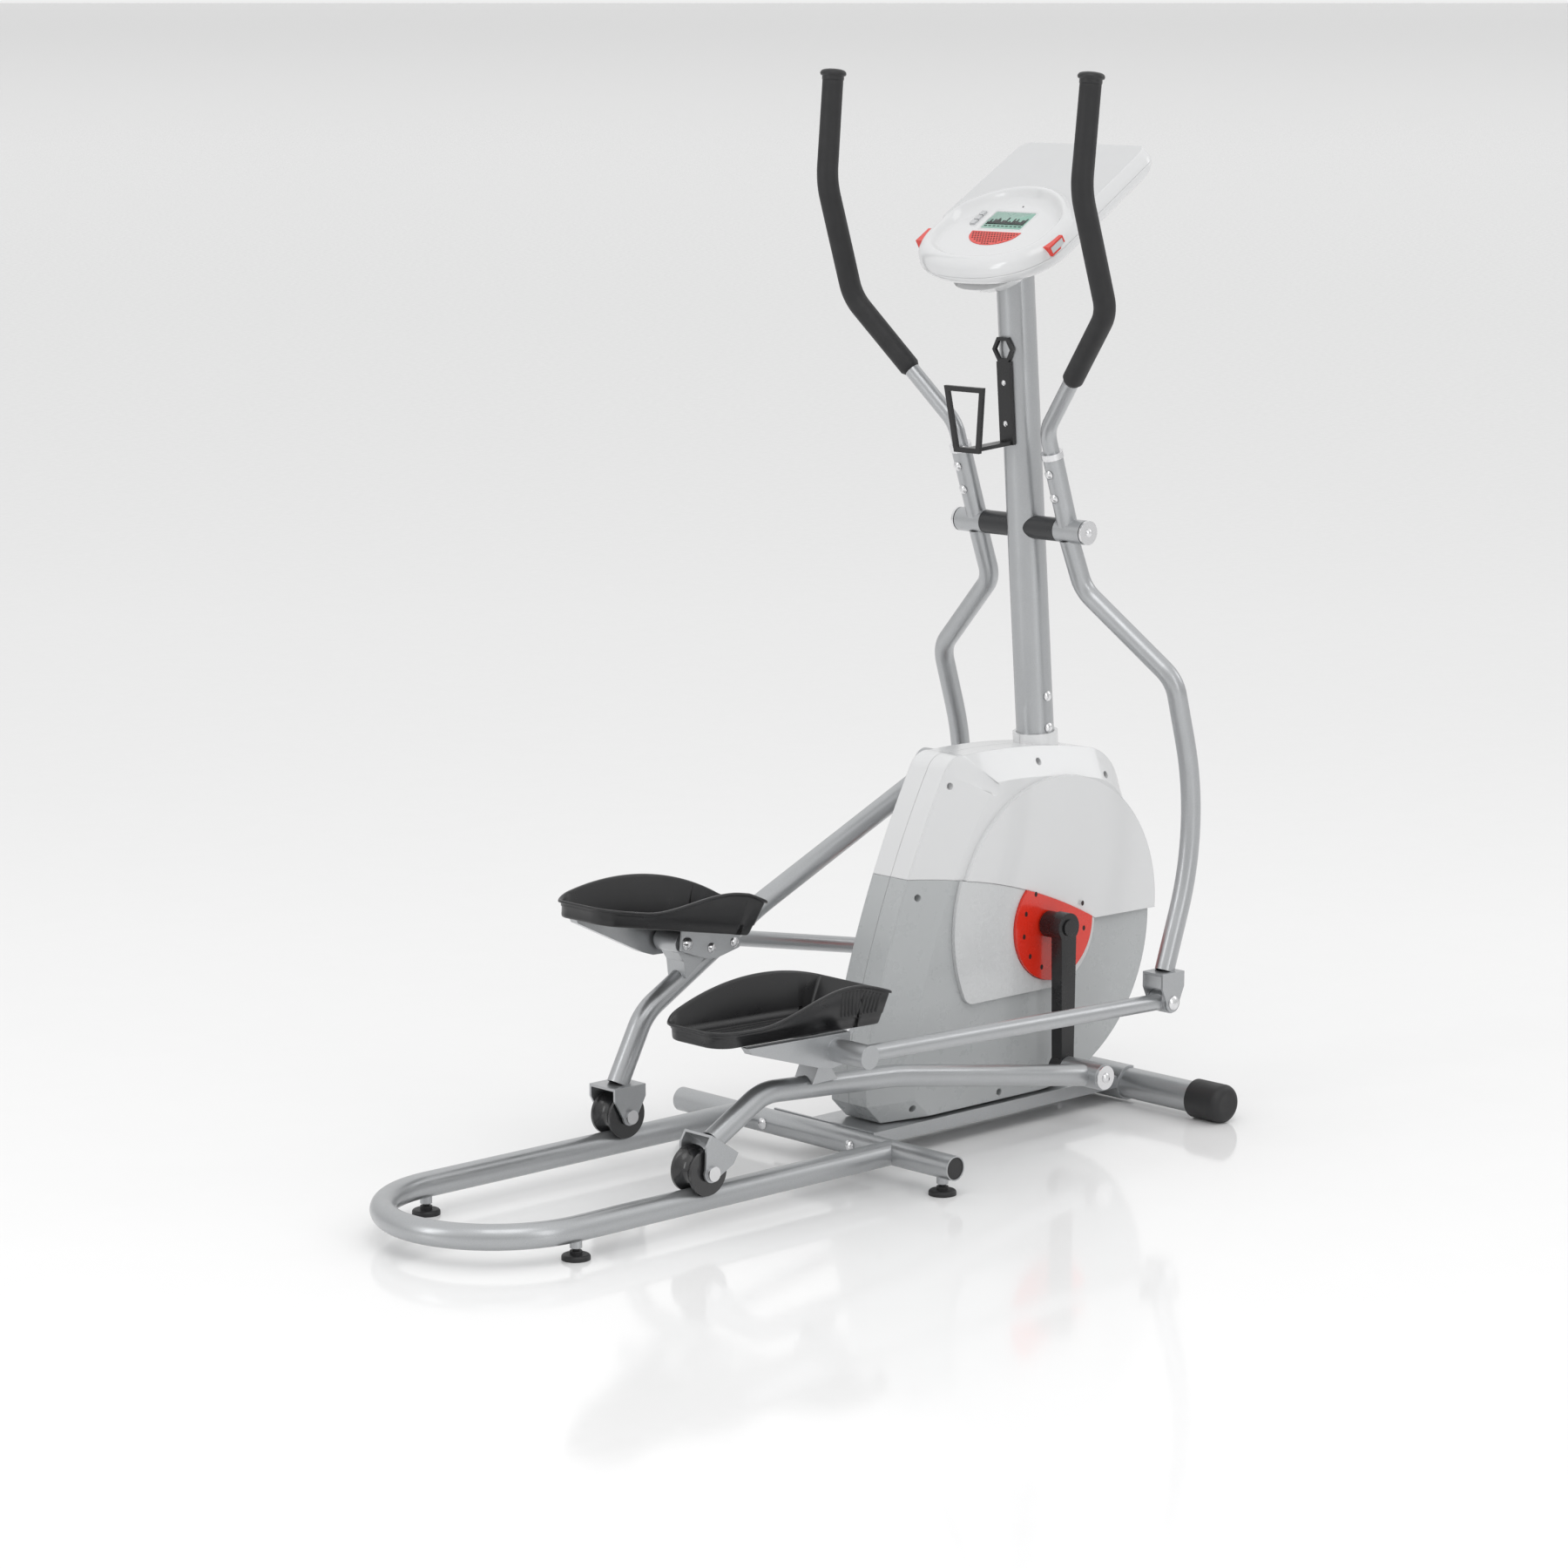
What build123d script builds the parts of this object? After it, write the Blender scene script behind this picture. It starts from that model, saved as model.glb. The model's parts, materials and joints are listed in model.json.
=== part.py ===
"""Elliptical cross trainer with a front drive, rear roller rails and swinging handlebars.

Millimetres. X points the way the user faces, Y to the user's left, Z up. The origin is on the
floor under the middle of the machine. Each side has a four-bar leg: the crank pin carries the
front of the leg arm, its rear roller runs on the rail, and the foot link joins the leg arm's
post to the foot of the swinging handlebar.
"""

import os
from math import asin, atan2, cos, degrees, hypot, radians, sin, sqrt

from build123d import *

os.makedirs("parts", exist_ok=True)

SIDES = {"right": -1, "left": 1}

# Floor frame
CROSS_TUBE_X = 60.0
CROSS_TUBE_R = 19.0
CROSS_TUBE_HALF = 303.0
RAIL_Y = 168.0
RAIL_Z = 44.5
RAIL_R = 19.0
RAIL_BEND_X = -570.5
STABILIZER_X = 697.0
STABILIZER_Z = 31.0
STABILIZER_R = 25.0
STABILIZER_HALF = 281.0
END_CAP_R = 31.0
END_CAP_LENGTH = 66.0
PAN_TOP = 46.0
PAN_BOTTOM = 26.0
PAN_HALF = 70.0
SHEET = 3.0
FOOT_PAD_R = 21.0
FOOT_STUD_R = 5.0
FOOT_INSET_Y = 276.0

# Mast
MAST_BASE = Vector(546, 0, 600)
MAST_AXIS = (Vector(490.5, 0, 1330) - MAST_BASE).normalized()
MAST_R = 30.0
MAST_WALL = 2.5
POST_R = 27.0

# Crank, leg arm, foot link and handlebar linkage
CRANK_X = 497.5
CRANK_Z = 322.0
CRANK_THROW = 228.0
CRANK_IN = 100.0
CRANK_OUT = 122.0
AXLE_R = 10.0
WHEEL_Z = 88.0
WHEEL_R = 35.0
WHEEL_HALF = 22.0
WHEEL_BORE = 8.05
ROLLER_AXLE_R = 8.0
LEG_Y = 168.0
LEG_LENGTH = 832.0
LEG_TUBE_R = 17.0
FORK_TILT = 33.73
FORK_IN = 25.5
FORK_OUT = 29.5
POST_AT = (234.5, 147.0)
HOUSING_IN = 142.0
HOUSING_OUT = 192.0
PIVOT_R = 8.0
LINK_Y = 262.0
LINK_LENGTH = 665.5
LINK_TUBE_R = 13.0
SLEEVE_HALF = 17.0
BAR_X = 513.0
BAR_Z = 946.0
BAR_LEVER = 731.0
BAR_REST = 4.32
BAR_AXLE_R = 12.0
BAR_HOUSING_IN = 80.0
BAR_HOUSING_OUT = 134.0
BAR_TUBE_R = 12.5
LOWER_TUBE_R = 15.5
SOCKET_R = 16.0
SOCKET_BOLTS = (22.0, 62.0)
GRIP_R = 16.5
GAP = 0.5

# Shroud
SHELL_FLAT = 38.0
SHELL_SIDE = 62.0
SHELL_WALL = 3.0
DISC_X = 530.0
DISC_Z = 328.0
DISC_R = 226.0
DISC_FACE = 70.0
COVER_X = 515.0
COVER_Z = 317.0
COVER_R = 88.0

# Console, on a plane tilted towards the user
CONSOLE_TILT = 32.0
CONSOLE_AT = (456.0, 0.0, 1411.0)


def save(part, name):
    """Name one sub-part and write its file."""
    part.label = name
    export_step(part, f"parts/{name}.step")


def side_frame(x, z, tilt):
    """An upright plane at y = 0: local X forwards at the tilt in degrees, local Y up."""
    angle = radians(tilt)
    return Plane(origin=(x, 0, z), x_dir=(cos(angle), 0, sin(angle)), z_dir=(0, -1, 0))


def spot(frame, side, forward, up, out):
    """A world point from a side frame; out is the distance from the machine's middle plane."""
    return frame.from_local_coords(Vector(forward, up, -side * out))


def layer(frame, side, near, far):
    """The sketch plane halfway between two distances out, and half their difference."""
    middle = spot(frame, side, 0, 0, (near + far) / 2)
    plane = Plane(origin=middle, x_dir=frame.x_dir, z_dir=frame.z_dir)
    return plane, abs(far - near) / 2


def rod(start, end, radius, bore=0.0):
    """A round bar between two points, or a tube if it has a bore."""
    run = Vector(end) - Vector(start)
    with BuildPart() as bar:
        with BuildSketch(Plane(origin=start, z_dir=run)):
            Circle(radius)
            if bore:
                Circle(bore, mode=Mode.SUBTRACT)
        extrude(amount=run.length)
    return bar.part


def cross_rod(frame, side, at, near, far, radius, bore=0.0):
    """A round bar along Y at a local point of a side frame."""
    start = spot(frame, side, at[0], at[1], near)
    end = spot(frame, side, at[0], at[1], far)
    return rod(start, end, radius, bore)


def bent_tube(points, radii, outer, wall=0.0):
    """A round tube along straight runs joined by bends."""
    with BuildPart() as tube:
        with BuildLine() as path:
            FilletPolyline(*points, radius=radii)
        with BuildSketch(Plane(origin=path.line @ 0, z_dir=path.line % 0)):
            Circle(outer)
            if wall:
                Circle(outer - wall, mode=Mode.SUBTRACT)
        sweep()
    return tube.part


def slab(frame, side, near, far, points, radius=0.0):
    """A flat plate between two distances out, with its corners rounded."""
    plane, half = layer(frame, side, near, far)
    with BuildPart() as plate:
        with BuildSketch(plane) as outline:
            with BuildLine():
                Polyline(*points, close=True)
            make_face()
            if radius:
                fillet(outline.vertices(), radius)
        extrude(amount=half, both=True)
    return plate.part


def dome_bolt(base, direction, radius, shank_radius, shank):
    """A button-head bolt: the domed head stands on the base point, the shank goes in."""
    way = Vector(direction).normalized()
    start = Vector(base)
    height = radius * 0.6
    edge = height * 0.3
    round_r = (radius**2 + (height - edge) ** 2) / (2 * (height - edge))
    half_angle = asin(radius / round_r) / 2
    crown = (round_r * sin(half_angle), height - round_r + round_r * cos(half_angle))
    shank_bar = rod(start - way * shank, start, shank_radius)
    profile_plane = Plane(origin=start, x_dir=way.cross(Vector(0.1, 0.2, 1)), z_dir=way)
    side_on = Plane(origin=start, x_dir=profile_plane.x_dir, z_dir=-profile_plane.y_dir)
    with BuildPart() as bolt:
        with BuildSketch(side_on):
            with BuildLine():
                Line((0, 0), (radius, 0))
                Line((radius, 0), (radius, edge))
                ThreePointArc((radius, edge), crown, (0, height))
                Line((0, height), (0, 0))
            make_face()
        revolve(axis=Axis(start, way))
        add(shank_bar)
    return bolt.part


# ---------------------------------------------------------------- linkage at rest


def leg_state(side):
    """Roller axle X and leg tilt in degrees, with the right crank down and the left one up."""
    rise = CRANK_Z + side * CRANK_THROW - WHEEL_Z
    return CRANK_X - sqrt(LEG_LENGTH**2 - rise**2), degrees(asin(rise / LEG_LENGTH))


def turned(point, tilt):
    """A point turned about the origin by a tilt in degrees."""
    angle = radians(tilt)
    x, z = point
    return x * cos(angle) - z * sin(angle), x * sin(angle) + z * cos(angle)


def link_state(side):
    """The foot pivot, the link's tilt and the handlebar's angle off the vertical, in degrees."""
    wheel_x, tilt = leg_state(side)
    ahead, above = turned(POST_AT, tilt)
    foot_x, foot_z = wheel_x + ahead, WHEEL_Z + above
    dx, dz = BAR_X - foot_x, BAR_Z - foot_z
    apart = hypot(dx, dz)
    along = (LINK_LENGTH**2 - BAR_LEVER**2 + apart**2) / (2 * apart)
    off = sqrt(LINK_LENGTH**2 - along**2)
    end_x = foot_x + (along * dx + off * dz) / apart
    end_z = foot_z + (along * dz - off * dx) / apart
    link_tilt = degrees(atan2(end_z - foot_z, end_x - foot_x))
    bar_angle = degrees(atan2(end_x - BAR_X, BAR_Z - end_z))
    return (foot_x, foot_z), link_tilt, bar_angle


def leg_frame(side):
    """Origin on the roller axle, local X towards the crank pin."""
    wheel_x, tilt = leg_state(side)
    return side_frame(wheel_x, WHEEL_Z, tilt)


def fork_frame(side):
    """The leg frame turned so that local Y runs up the roller fork."""
    wheel_x, tilt = leg_state(side)
    return side_frame(wheel_x, WHEEL_Z, tilt - FORK_TILT)


def link_frame(side):
    """Origin on the foot pivot, local X towards the handlebar's clevis."""
    (foot_x, foot_z), tilt, _ = link_state(side)
    return side_frame(foot_x, foot_z, tilt)


def bar_frame(side):
    """Origin on the handlebar axle, turned by how far this bar is from the common angle."""
    bar_angle = link_state(side)[2]
    return side_frame(BAR_X, BAR_Z, bar_angle - BAR_REST)


# ---------------------------------------------------------------- floor frame


def foot_positions():
    """Where the four levelling feet stand, by name."""
    spots = {}
    for name, side in SIDES.items():
        spots[f"rear_{name}"] = (RAIL_BEND_X, side * RAIL_Y)
        spots[f"middle_{name}"] = (CROSS_TUBE_X, side * FOOT_INSET_Y)
    return spots


def foot_nut(x, y):
    """The threaded boss under a tube that takes a levelling foot."""
    return rod((x, y, 17), (x, y, 30), 9, FOOT_STUD_R + 0.05)


mast_axle_cut = rod((BAR_X, -60, BAR_Z), (BAR_X, 60, BAR_Z), BAR_AXLE_R)
mast_bolt_heights = (676.0, 625.0)
frame_bolt_y = 96.7
SADDLE_BOLT_Y = 50.0

stud_cuts = [rod((x, y, 0), (x, y, 42), FOOT_STUD_R + 0.05) for x, y in foot_positions().values()]
cross_tube_ends = ((CROSS_TUBE_X, -CROSS_TUBE_HALF, RAIL_Z), (CROSS_TUBE_X, CROSS_TUBE_HALF, RAIL_Z))
cross_tube_solid = rod(*cross_tube_ends, CROSS_TUBE_R)
cross_tube_hollow = rod(*cross_tube_ends, CROSS_TUBE_R, CROSS_TUBE_R - 2)
frame_bolt_cuts = []
for side in SIDES.values():
    bolt_y = side * frame_bolt_y
    frame_bolt_cuts.append(
        rod((CROSS_TUBE_X - 30, bolt_y, RAIL_Z), (CROSS_TUBE_X + 40, bolt_y, RAIL_Z), 4.5)
    )

with BuildPart() as rear_cross_tube:
    add(cross_tube_hollow)
    for name, (x, y) in foot_positions().items():
        if name.startswith("middle"):
            add(foot_nut(x, y))
    add(stud_cuts, mode=Mode.SUBTRACT)
    add(frame_bolt_cuts, mode=Mode.SUBTRACT)
save(rear_cross_tube.part, "rear_cross_tube")

with BuildPart() as cross_tube_caps:
    for side in SIDES.values():
        face = Vector(CROSS_TUBE_X, side * CROSS_TUBE_HALF, RAIL_Z)
        add(rod(face - Vector(0, side * 14, 0), face - Vector(0, side * 1.5, 0), CROSS_TUBE_R - 2))
save(cross_tube_caps.part, "cross_tube_caps")

rail_start = Vector(CROSS_TUBE_X, -RAIL_Y, RAIL_Z)
with BuildPart() as slide_rail:
    with BuildLine():
        Line(rail_start, (RAIL_BEND_X, -RAIL_Y, RAIL_Z))
        ThreePointArc(
            (RAIL_BEND_X, -RAIL_Y, RAIL_Z),
            (RAIL_BEND_X - RAIL_Y, 0, RAIL_Z),
            (RAIL_BEND_X, RAIL_Y, RAIL_Z),
        )
        Line((RAIL_BEND_X, RAIL_Y, RAIL_Z), (CROSS_TUBE_X, RAIL_Y, RAIL_Z))
    with BuildSketch(Plane(origin=rail_start, z_dir=(-1, 0, 0))):
        Circle(RAIL_R)
        Circle(RAIL_R - 2, mode=Mode.SUBTRACT)
    sweep()
    add(cross_tube_solid, mode=Mode.SUBTRACT)
    for name, (x, y) in foot_positions().items():
        if name.startswith("rear"):
            add(foot_nut(x, y))
    add(stud_cuts, mode=Mode.SUBTRACT)
save(slide_rail.part, "slide_rail")

for name, (x, y) in foot_positions().items():
    pad = rod((x, y, 0), (x, y, 8), FOOT_PAD_R)
    collar = rod((x, y, 8), (x, y, 13), 9)
    stud = rod((x, y, 13), (x, y, 40), FOOT_STUD_R)
    with BuildPart() as levelling_foot:
        add(pad)
        fillet(levelling_foot.edges().group_by(Axis.Z)[-1], 4)
        add(collar)
        add(stud)
    save(levelling_foot.part, f"levelling_foot_{name}")

stabilizer_ends = (
    (STABILIZER_X, -STABILIZER_HALF, STABILIZER_Z),
    (STABILIZER_X, STABILIZER_HALF, STABILIZER_Z),
)
with BuildPart() as front_stabilizer:
    add(rod(*stabilizer_ends, STABILIZER_R, STABILIZER_R - 2.5))
save(front_stabilizer.part, "front_stabilizer")

with BuildPart() as stabilizer_end_caps:
    for side in SIDES.values():
        inner = Vector(STABILIZER_X, side * (STABILIZER_HALF + 3 - END_CAP_LENGTH), STABILIZER_Z)
        outer = Vector(STABILIZER_X, side * (STABILIZER_HALF + 3), STABILIZER_Z)
        add(rod(inner, outer, END_CAP_R))
    outer_edges = [
        e for e in stabilizer_end_caps.edges() if abs(abs(e.center().Y) - STABILIZER_HALF - 3) < 0.1
    ]
    fillet(outer_edges, 12)
    add(rod(*stabilizer_ends, STABILIZER_R), mode=Mode.SUBTRACT)
save(stabilizer_end_caps.part, "stabilizer_end_caps")

with BuildPart() as frame_bolts:
    for side in SIDES.values():
        head = (CROSS_TUBE_X - CROSS_TUBE_R, side * frame_bolt_y, RAIL_Z)
        add(dome_bolt(head, (-1, 0, 0), 9, 4.5, 2 * CROSS_TUBE_R + 8))
    for side in SIDES.values():
        head = (STABILIZER_X - STABILIZER_R - 3.5, side * SADDLE_BOLT_Y, STABILIZER_Z)
        add(dome_bolt(head, (-1, 0, 0), 9, 4, 3))
    for height in mast_bolt_heights:
        base = MAST_BASE + MAST_AXIS * (height - MAST_BASE.Z)
        add(dome_bolt(base - Vector(0, MAST_R, 0), (0, -1, 0), 8, 4, 8))
save(frame_bolts.part, "frame_bolts")

# The base frame: pan, saddle, post, crank bearing tube and flywheel brackets in one weldment
PAN_REAR = CROSS_TUBE_X + CROSS_TUBE_R
PAN_FRONT = STABILIZER_X - STABILIZER_R - 2
FLYWHEEL_X = 330.0
FLYWHEEL_Z = 200.0
FLYWHEEL_R = 98.0
SMALL_PULLEY_R = 25.0
BIG_PULLEY_R = 125.0
PULLEY_IN = 48.0
PULLEY_OUT = 56.0
BEARING_HALF = 44.0

with BuildPart() as pan:
    with BuildSketch(Plane.XY.offset(PAN_BOTTOM)):
        with Locations(((PAN_REAR + PAN_FRONT) / 2, 0)):
            Rectangle(PAN_FRONT - PAN_REAR, 2 * PAN_HALF)
    extrude(amount=PAN_TOP - PAN_BOTTOM)
    with BuildSketch(Plane.XY.offset(PAN_BOTTOM)):
        with Locations(((PAN_REAR + PAN_FRONT) / 2, 0)):
            Rectangle(PAN_FRONT - PAN_REAR, 2 * (PAN_HALF - SHEET))
    extrude(amount=PAN_TOP - PAN_BOTTOM - SHEET, mode=Mode.SUBTRACT)

with BuildPart() as pan_rear_flange:
    with BuildSketch(Plane.YZ.offset(PAN_REAR)):
        with Locations((0, RAIL_Z - 1)):
            Rectangle(2 * (frame_bolt_y + 14), 34)
    extrude(amount=4)

saddle_ring = rod(
    (STABILIZER_X, -73, STABILIZER_Z), (STABILIZER_X, 73, STABILIZER_Z), STABILIZER_R + 3.5, STABILIZER_R
)
with BuildPart() as saddle_front:
    with BuildSketch(Plane.XY.offset(-5)):
        with Locations((STABILIZER_X + 60, 0)):
            Rectangle(100, 160)
    extrude(amount=80)

post_foot = MAST_BASE + MAST_AXIS * (PAN_TOP - SHEET - MAST_BASE.Z)
post_head = MAST_BASE + MAST_AXIS * (690 - MAST_BASE.Z)
post_tube = rod(post_foot, post_head, POST_R, POST_R - 3)
bearing_plane = side_frame(CRANK_X, CRANK_Z, 0)
bearing_tube = cross_rod(bearing_plane, 1, (0, 0), -BEARING_HALF, BEARING_HALF, 24, AXLE_R + 0.05)
gusset_points = ((0, -30), (56, -40), (52, 40), (0, 22))
gussets = [slab(bearing_plane, 1, at, at + 4, gusset_points) for at in (-22, 18)]
flywheel_plane = side_frame(FLYWHEEL_X, FLYWHEEL_Z, 0)
bracket_points = ((-16, 16), (-26, PAN_TOP - 1 - FLYWHEEL_Z), (26, PAN_TOP - 1 - FLYWHEEL_Z), (16, 16))
brackets = [slab(flywheel_plane, 1, at, at + 4, bracket_points) for at in (-34, 30)]
flywheel_hole = cross_rod(flywheel_plane, 1, (0, 0), -60, 60, 8.05)
mast_bolt_cuts = []
for height in mast_bolt_heights:
    base = MAST_BASE + MAST_AXIS * (height - MAST_BASE.Z)
    mast_bolt_cuts.append(rod(base - Vector(0, 50, 0), base - Vector(0, 15, 0), 4))
saddle_bolt_cuts = []
for side in SIDES.values():
    bolt_y = side * SADDLE_BOLT_Y
    bolt_start = (STABILIZER_X - 40, bolt_y, STABILIZER_Z)
    saddle_bolt_cuts.append(rod(bolt_start, (STABILIZER_X - STABILIZER_R, bolt_y, STABILIZER_Z), 4))
inner_bore = cross_rod(bearing_plane, 1, (0, 0), -BEARING_HALF, BEARING_HALF, 23)

with BuildPart() as base_frame:
    add(gussets)
    add(post_tube)
    add(inner_bore, mode=Mode.SUBTRACT)
    add(bearing_tube)
    add(brackets)
    add(flywheel_hole, mode=Mode.SUBTRACT)
    add(pan.part)
    add(pan_rear_flange.part)
    add(saddle_ring)
    add(saddle_front.part, mode=Mode.SUBTRACT)
    add(rod(*stabilizer_ends, STABILIZER_R), mode=Mode.SUBTRACT)
    add(frame_bolt_cuts, mode=Mode.SUBTRACT)
    add(mast_bolt_cuts, mode=Mode.SUBTRACT)
    add(saddle_bolt_cuts, mode=Mode.SUBTRACT)
save(base_frame.part, "base_frame")

# ---------------------------------------------------------------- mast and console

console_plane = Plane(
    origin=CONSOLE_AT,
    x_dir=(cos(radians(CONSOLE_TILT)), 0, sin(radians(CONSOLE_TILT))),
    z_dir=(-sin(radians(CONSOLE_TILT)), 0, cos(radians(CONSOLE_TILT))),
)
CONSOLE_BACK = 234.0
CONSOLE_FRONT = -112.0
CONSOLE_HALF = 144.0
CONSOLE_STRAIGHT = -10.0
RIM_TOP = 8.0
SEAM = -14.0
UNDERSIDE = -40.0
BELLY = -68.0
SHELL = 3.0

mast_foot = MAST_BASE + MAST_AXIS * (588 - MAST_BASE.Z)
mast_head = MAST_BASE + MAST_AXIS * (1420 - MAST_BASE.Z)
mast_tube_whole = rod(mast_foot, mast_head, MAST_R, MAST_R - MAST_WALL)
with BuildPart() as mast_tube:
    add(mast_tube_whole)
    split(bisect_by=console_plane.offset(BELLY), keep=Keep.BOTTOM)
    add(mast_axle_cut, mode=Mode.SUBTRACT)
    add(mast_bolt_cuts, mode=Mode.SUBTRACT)
save(mast_tube.part, "mast_tube")

with BuildPart() as handlebar_axle:
    add(rod((BAR_X, -BAR_HOUSING_OUT - 2, BAR_Z), (BAR_X, BAR_HOUSING_OUT + 2, BAR_Z), BAR_AXLE_R))
    for side in SIDES.values():
        near = Vector(BAR_X, side * (BAR_HOUSING_OUT + 2), BAR_Z)
        add(rod(near, near + Vector(0, side * 4, 0), 19))
        add(dome_bolt(near + Vector(0, side * 4, 0), (0, side, 0), 6.5, 4, 3))
save(handlebar_axle.part, "handlebar_axle")

mast_solid = rod(mast_foot, mast_head, MAST_R)
with BuildPart() as pivot_spacers:
    for side in SIDES.values():
        start = (BAR_X, side * 8, BAR_Z)
        end = (BAR_X, side * (BAR_HOUSING_IN - GAP), BAR_Z)
        add(rod(start, end, 18.5, BAR_AXLE_R))
    add(mast_solid, mode=Mode.SUBTRACT)
save(pivot_spacers.part, "pivot_spacers")


def console_outline(level, inset):
    """A sketch of the console's outline: a wide round front and a squarer back."""
    half = CONSOLE_HALF - inset
    back = CONSOLE_BACK - inset
    corner = 24.0
    with BuildSketch(console_plane.offset(level)) as outline:
        with BuildLine():
            Line((back, -half + corner), (back, half - corner))
            Line((back, half - corner), (back - corner, half))
            Line((back - corner, half), (CONSOLE_STRAIGHT, half))
            ThreePointArc((CONSOLE_STRAIGHT, half), (CONSOLE_FRONT + inset, 0), (CONSOLE_STRAIGHT, -half))
            Line((CONSOLE_STRAIGHT, -half), (back - corner, -half))
            Line((back - corner, -half), (back, -half + corner))
        make_face()
    return outline.sketch


def console_slab(bottom, top, inset):
    """The console's outline between two levels, pulled in by an inset."""
    with BuildPart() as body:
        add(console_outline(bottom, inset))
        extrude(amount=top - bottom)
    return body.part


def console_box(near, far, half, bottom, top, middle=0.0):
    """A block on the console's plane: near and far along it, half its width across."""
    with BuildPart() as block:
        with BuildSketch(console_plane.offset(bottom)):
            with Locations(((near + far) / 2, middle)):
                Rectangle(far - near, 2 * half)
        extrude(amount=top - bottom)
    return block.part


DISPLAY_HALF = 44.0
DISPLAY_NEAR = -2.0
DISPLAY_FAR = 46.0
TRAY_NEAR = 84.0
BUTTON_AT = ((36, 66), (24, 66), (12, 66))
BUTTON_SIZE = 10.0
SIDE_BUTTON_AT = -30.0

top_block = console_slab(SEAM, RIM_TOP, 0)
top_hollow = console_slab(SEAM, -2, SHELL)
recess = console_slab(1, RIM_TOP, 26)
recess_limit = console_box(-90, 70, 120, 1, RIM_TOP)
rear_step = console_box(TRAY_NEAR, CONSOLE_BACK + 5, 150, 4, RIM_TOP)
display_cut = console_box(DISPLAY_NEAR, DISPLAY_FAR, DISPLAY_HALF, SEAM, RIM_TOP)
grille_cut = console_box(-46, -10, 52, SEAM, RIM_TOP)
button_cuts = [
    console_box(u - 5.5, u + 5.5, BUTTON_SIZE / 2 + 0.5, SEAM, RIM_TOP, v) for u, v in BUTTON_AT
]
side_cuts = [
    console_box(SIDE_BUTTON_AT - 17, SIDE_BUTTON_AT + 17, 16, -12, 4, side * 134) for side in SIDES.values()
]
recess_region = recess & recess_limit

with BuildPart() as console_top_shell:
    add(top_block)
    add(top_hollow, mode=Mode.SUBTRACT)
    add(recess_region, mode=Mode.SUBTRACT)
    add(rear_step, mode=Mode.SUBTRACT)
    add(display_cut, mode=Mode.SUBTRACT)
    add(grille_cut, mode=Mode.SUBTRACT)
    add(button_cuts, mode=Mode.SUBTRACT)
    add(side_cuts, mode=Mode.SUBTRACT)
save(console_top_shell.part, "console_top_shell")

belly_block = console_box(-70, 62, 70, BELLY, UNDERSIDE)
belly_hollow = console_box(-67, 59, 67, BELLY + SHELL, UNDERSIDE + SHELL)
bottom_block = console_slab(UNDERSIDE, SEAM - 0.3, 2)
bottom_hollow = console_slab(UNDERSIDE + SHELL, SEAM - 0.3, 2 + SHELL)
with BuildPart() as console_bottom_shell:
    add(bottom_block)
    add(belly_block)
    add(bottom_hollow, mode=Mode.SUBTRACT)
    add(belly_hollow, mode=Mode.SUBTRACT)
save(console_bottom_shell.part, "console_bottom_shell")

with BuildPart() as reading_tray:
    add(console_box(TRAY_NEAR + 3, CONSOLE_BACK - 6, 112, 4, 6))
save(reading_tray.part, "reading_tray")

with BuildPart() as display:
    add(console_box(DISPLAY_NEAR + 0.2, DISPLAY_FAR - 0.2, DISPLAY_HALF - 0.2, -6, 0.4))
save(display.part, "display")

for number, (u, v) in enumerate(BUTTON_AT, 1):
    with BuildPart() as console_button:
        add(console_box(u - 5, u + 5, BUTTON_SIZE / 2, -8, 3.5, v))
    save(console_button.part, f"console_button_{number}")

side_trims = [
    console_box(SIDE_BUTTON_AT - 17, SIDE_BUTTON_AT + 17, 12, -12, 4, side * 131) for side in SIDES.values()
]
side_button_cuts = [
    console_box(SIDE_BUTTON_AT - 14.4, SIDE_BUTTON_AT + 14.4, 20, -9.4, 1.4, side * 131)
    for side in SIDES.values()
]
with BuildPart() as console_red_trim:
    add(console_box(-46, -10, 52, -4, 0))
    add(side_trims)
    add(side_button_cuts, mode=Mode.SUBTRACT)
save(console_red_trim.part, "console_red_trim")

for name, side in SIDES.items():
    with BuildPart() as side_button:
        add(console_box(SIDE_BUTTON_AT - 14, SIDE_BUTTON_AT + 14, 9, -9, 1, side * 134))
    save(side_button.part, f"side_button_{name}")

# ---------------------------------------------------------------- bottle cage

cage_out = Vector(-MAST_AXIS.Z, 0, MAST_AXIS.X)
cage_plane = Plane(
    origin=MAST_BASE + MAST_AXIS * (1145 - MAST_BASE.Z) + cage_out * MAST_R,
    x_dir=(0, -1, 0),
    z_dir=cage_out,
)
CAGE_PLATE = 6.0
CAGE_SCREW_UP = 32.0
with BuildPart() as bottle_cage:
    with BuildSketch(cage_plane):
        Rectangle(28, 130)
    extrude(amount=CAGE_PLATE)
    with BuildSketch(cage_plane):
        with Locations((0, 84)):
            RegularPolygon(22, 6)
            RegularPolygon(16, 6, mode=Mode.SUBTRACT)
    extrude(amount=CAGE_PLATE)
    with BuildSketch(cage_plane):
        with Locations((0, -62)):
            Rectangle(22, 6)
    extrude(amount=96)
    with BuildSketch(cage_plane.offset(90)):
        with BuildLine():
            Polyline((-27, -65), (27, -65), (42, 38), (-42, 38), close=True)
        make_face()
        with BuildLine():
            Polyline((-20, -57), (20, -57), (33, 30), (-33, 30), close=True)
        make_face(mode=Mode.SUBTRACT)
    extrude(amount=6)
    with BuildSketch(cage_plane):
        with Locations((0, CAGE_SCREW_UP), (0, -CAGE_SCREW_UP)):
            Circle(2.6)
    extrude(amount=CAGE_PLATE, mode=Mode.SUBTRACT)
    add(mast_solid, mode=Mode.SUBTRACT)
save(bottle_cage.part, "bottle_cage")

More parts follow.
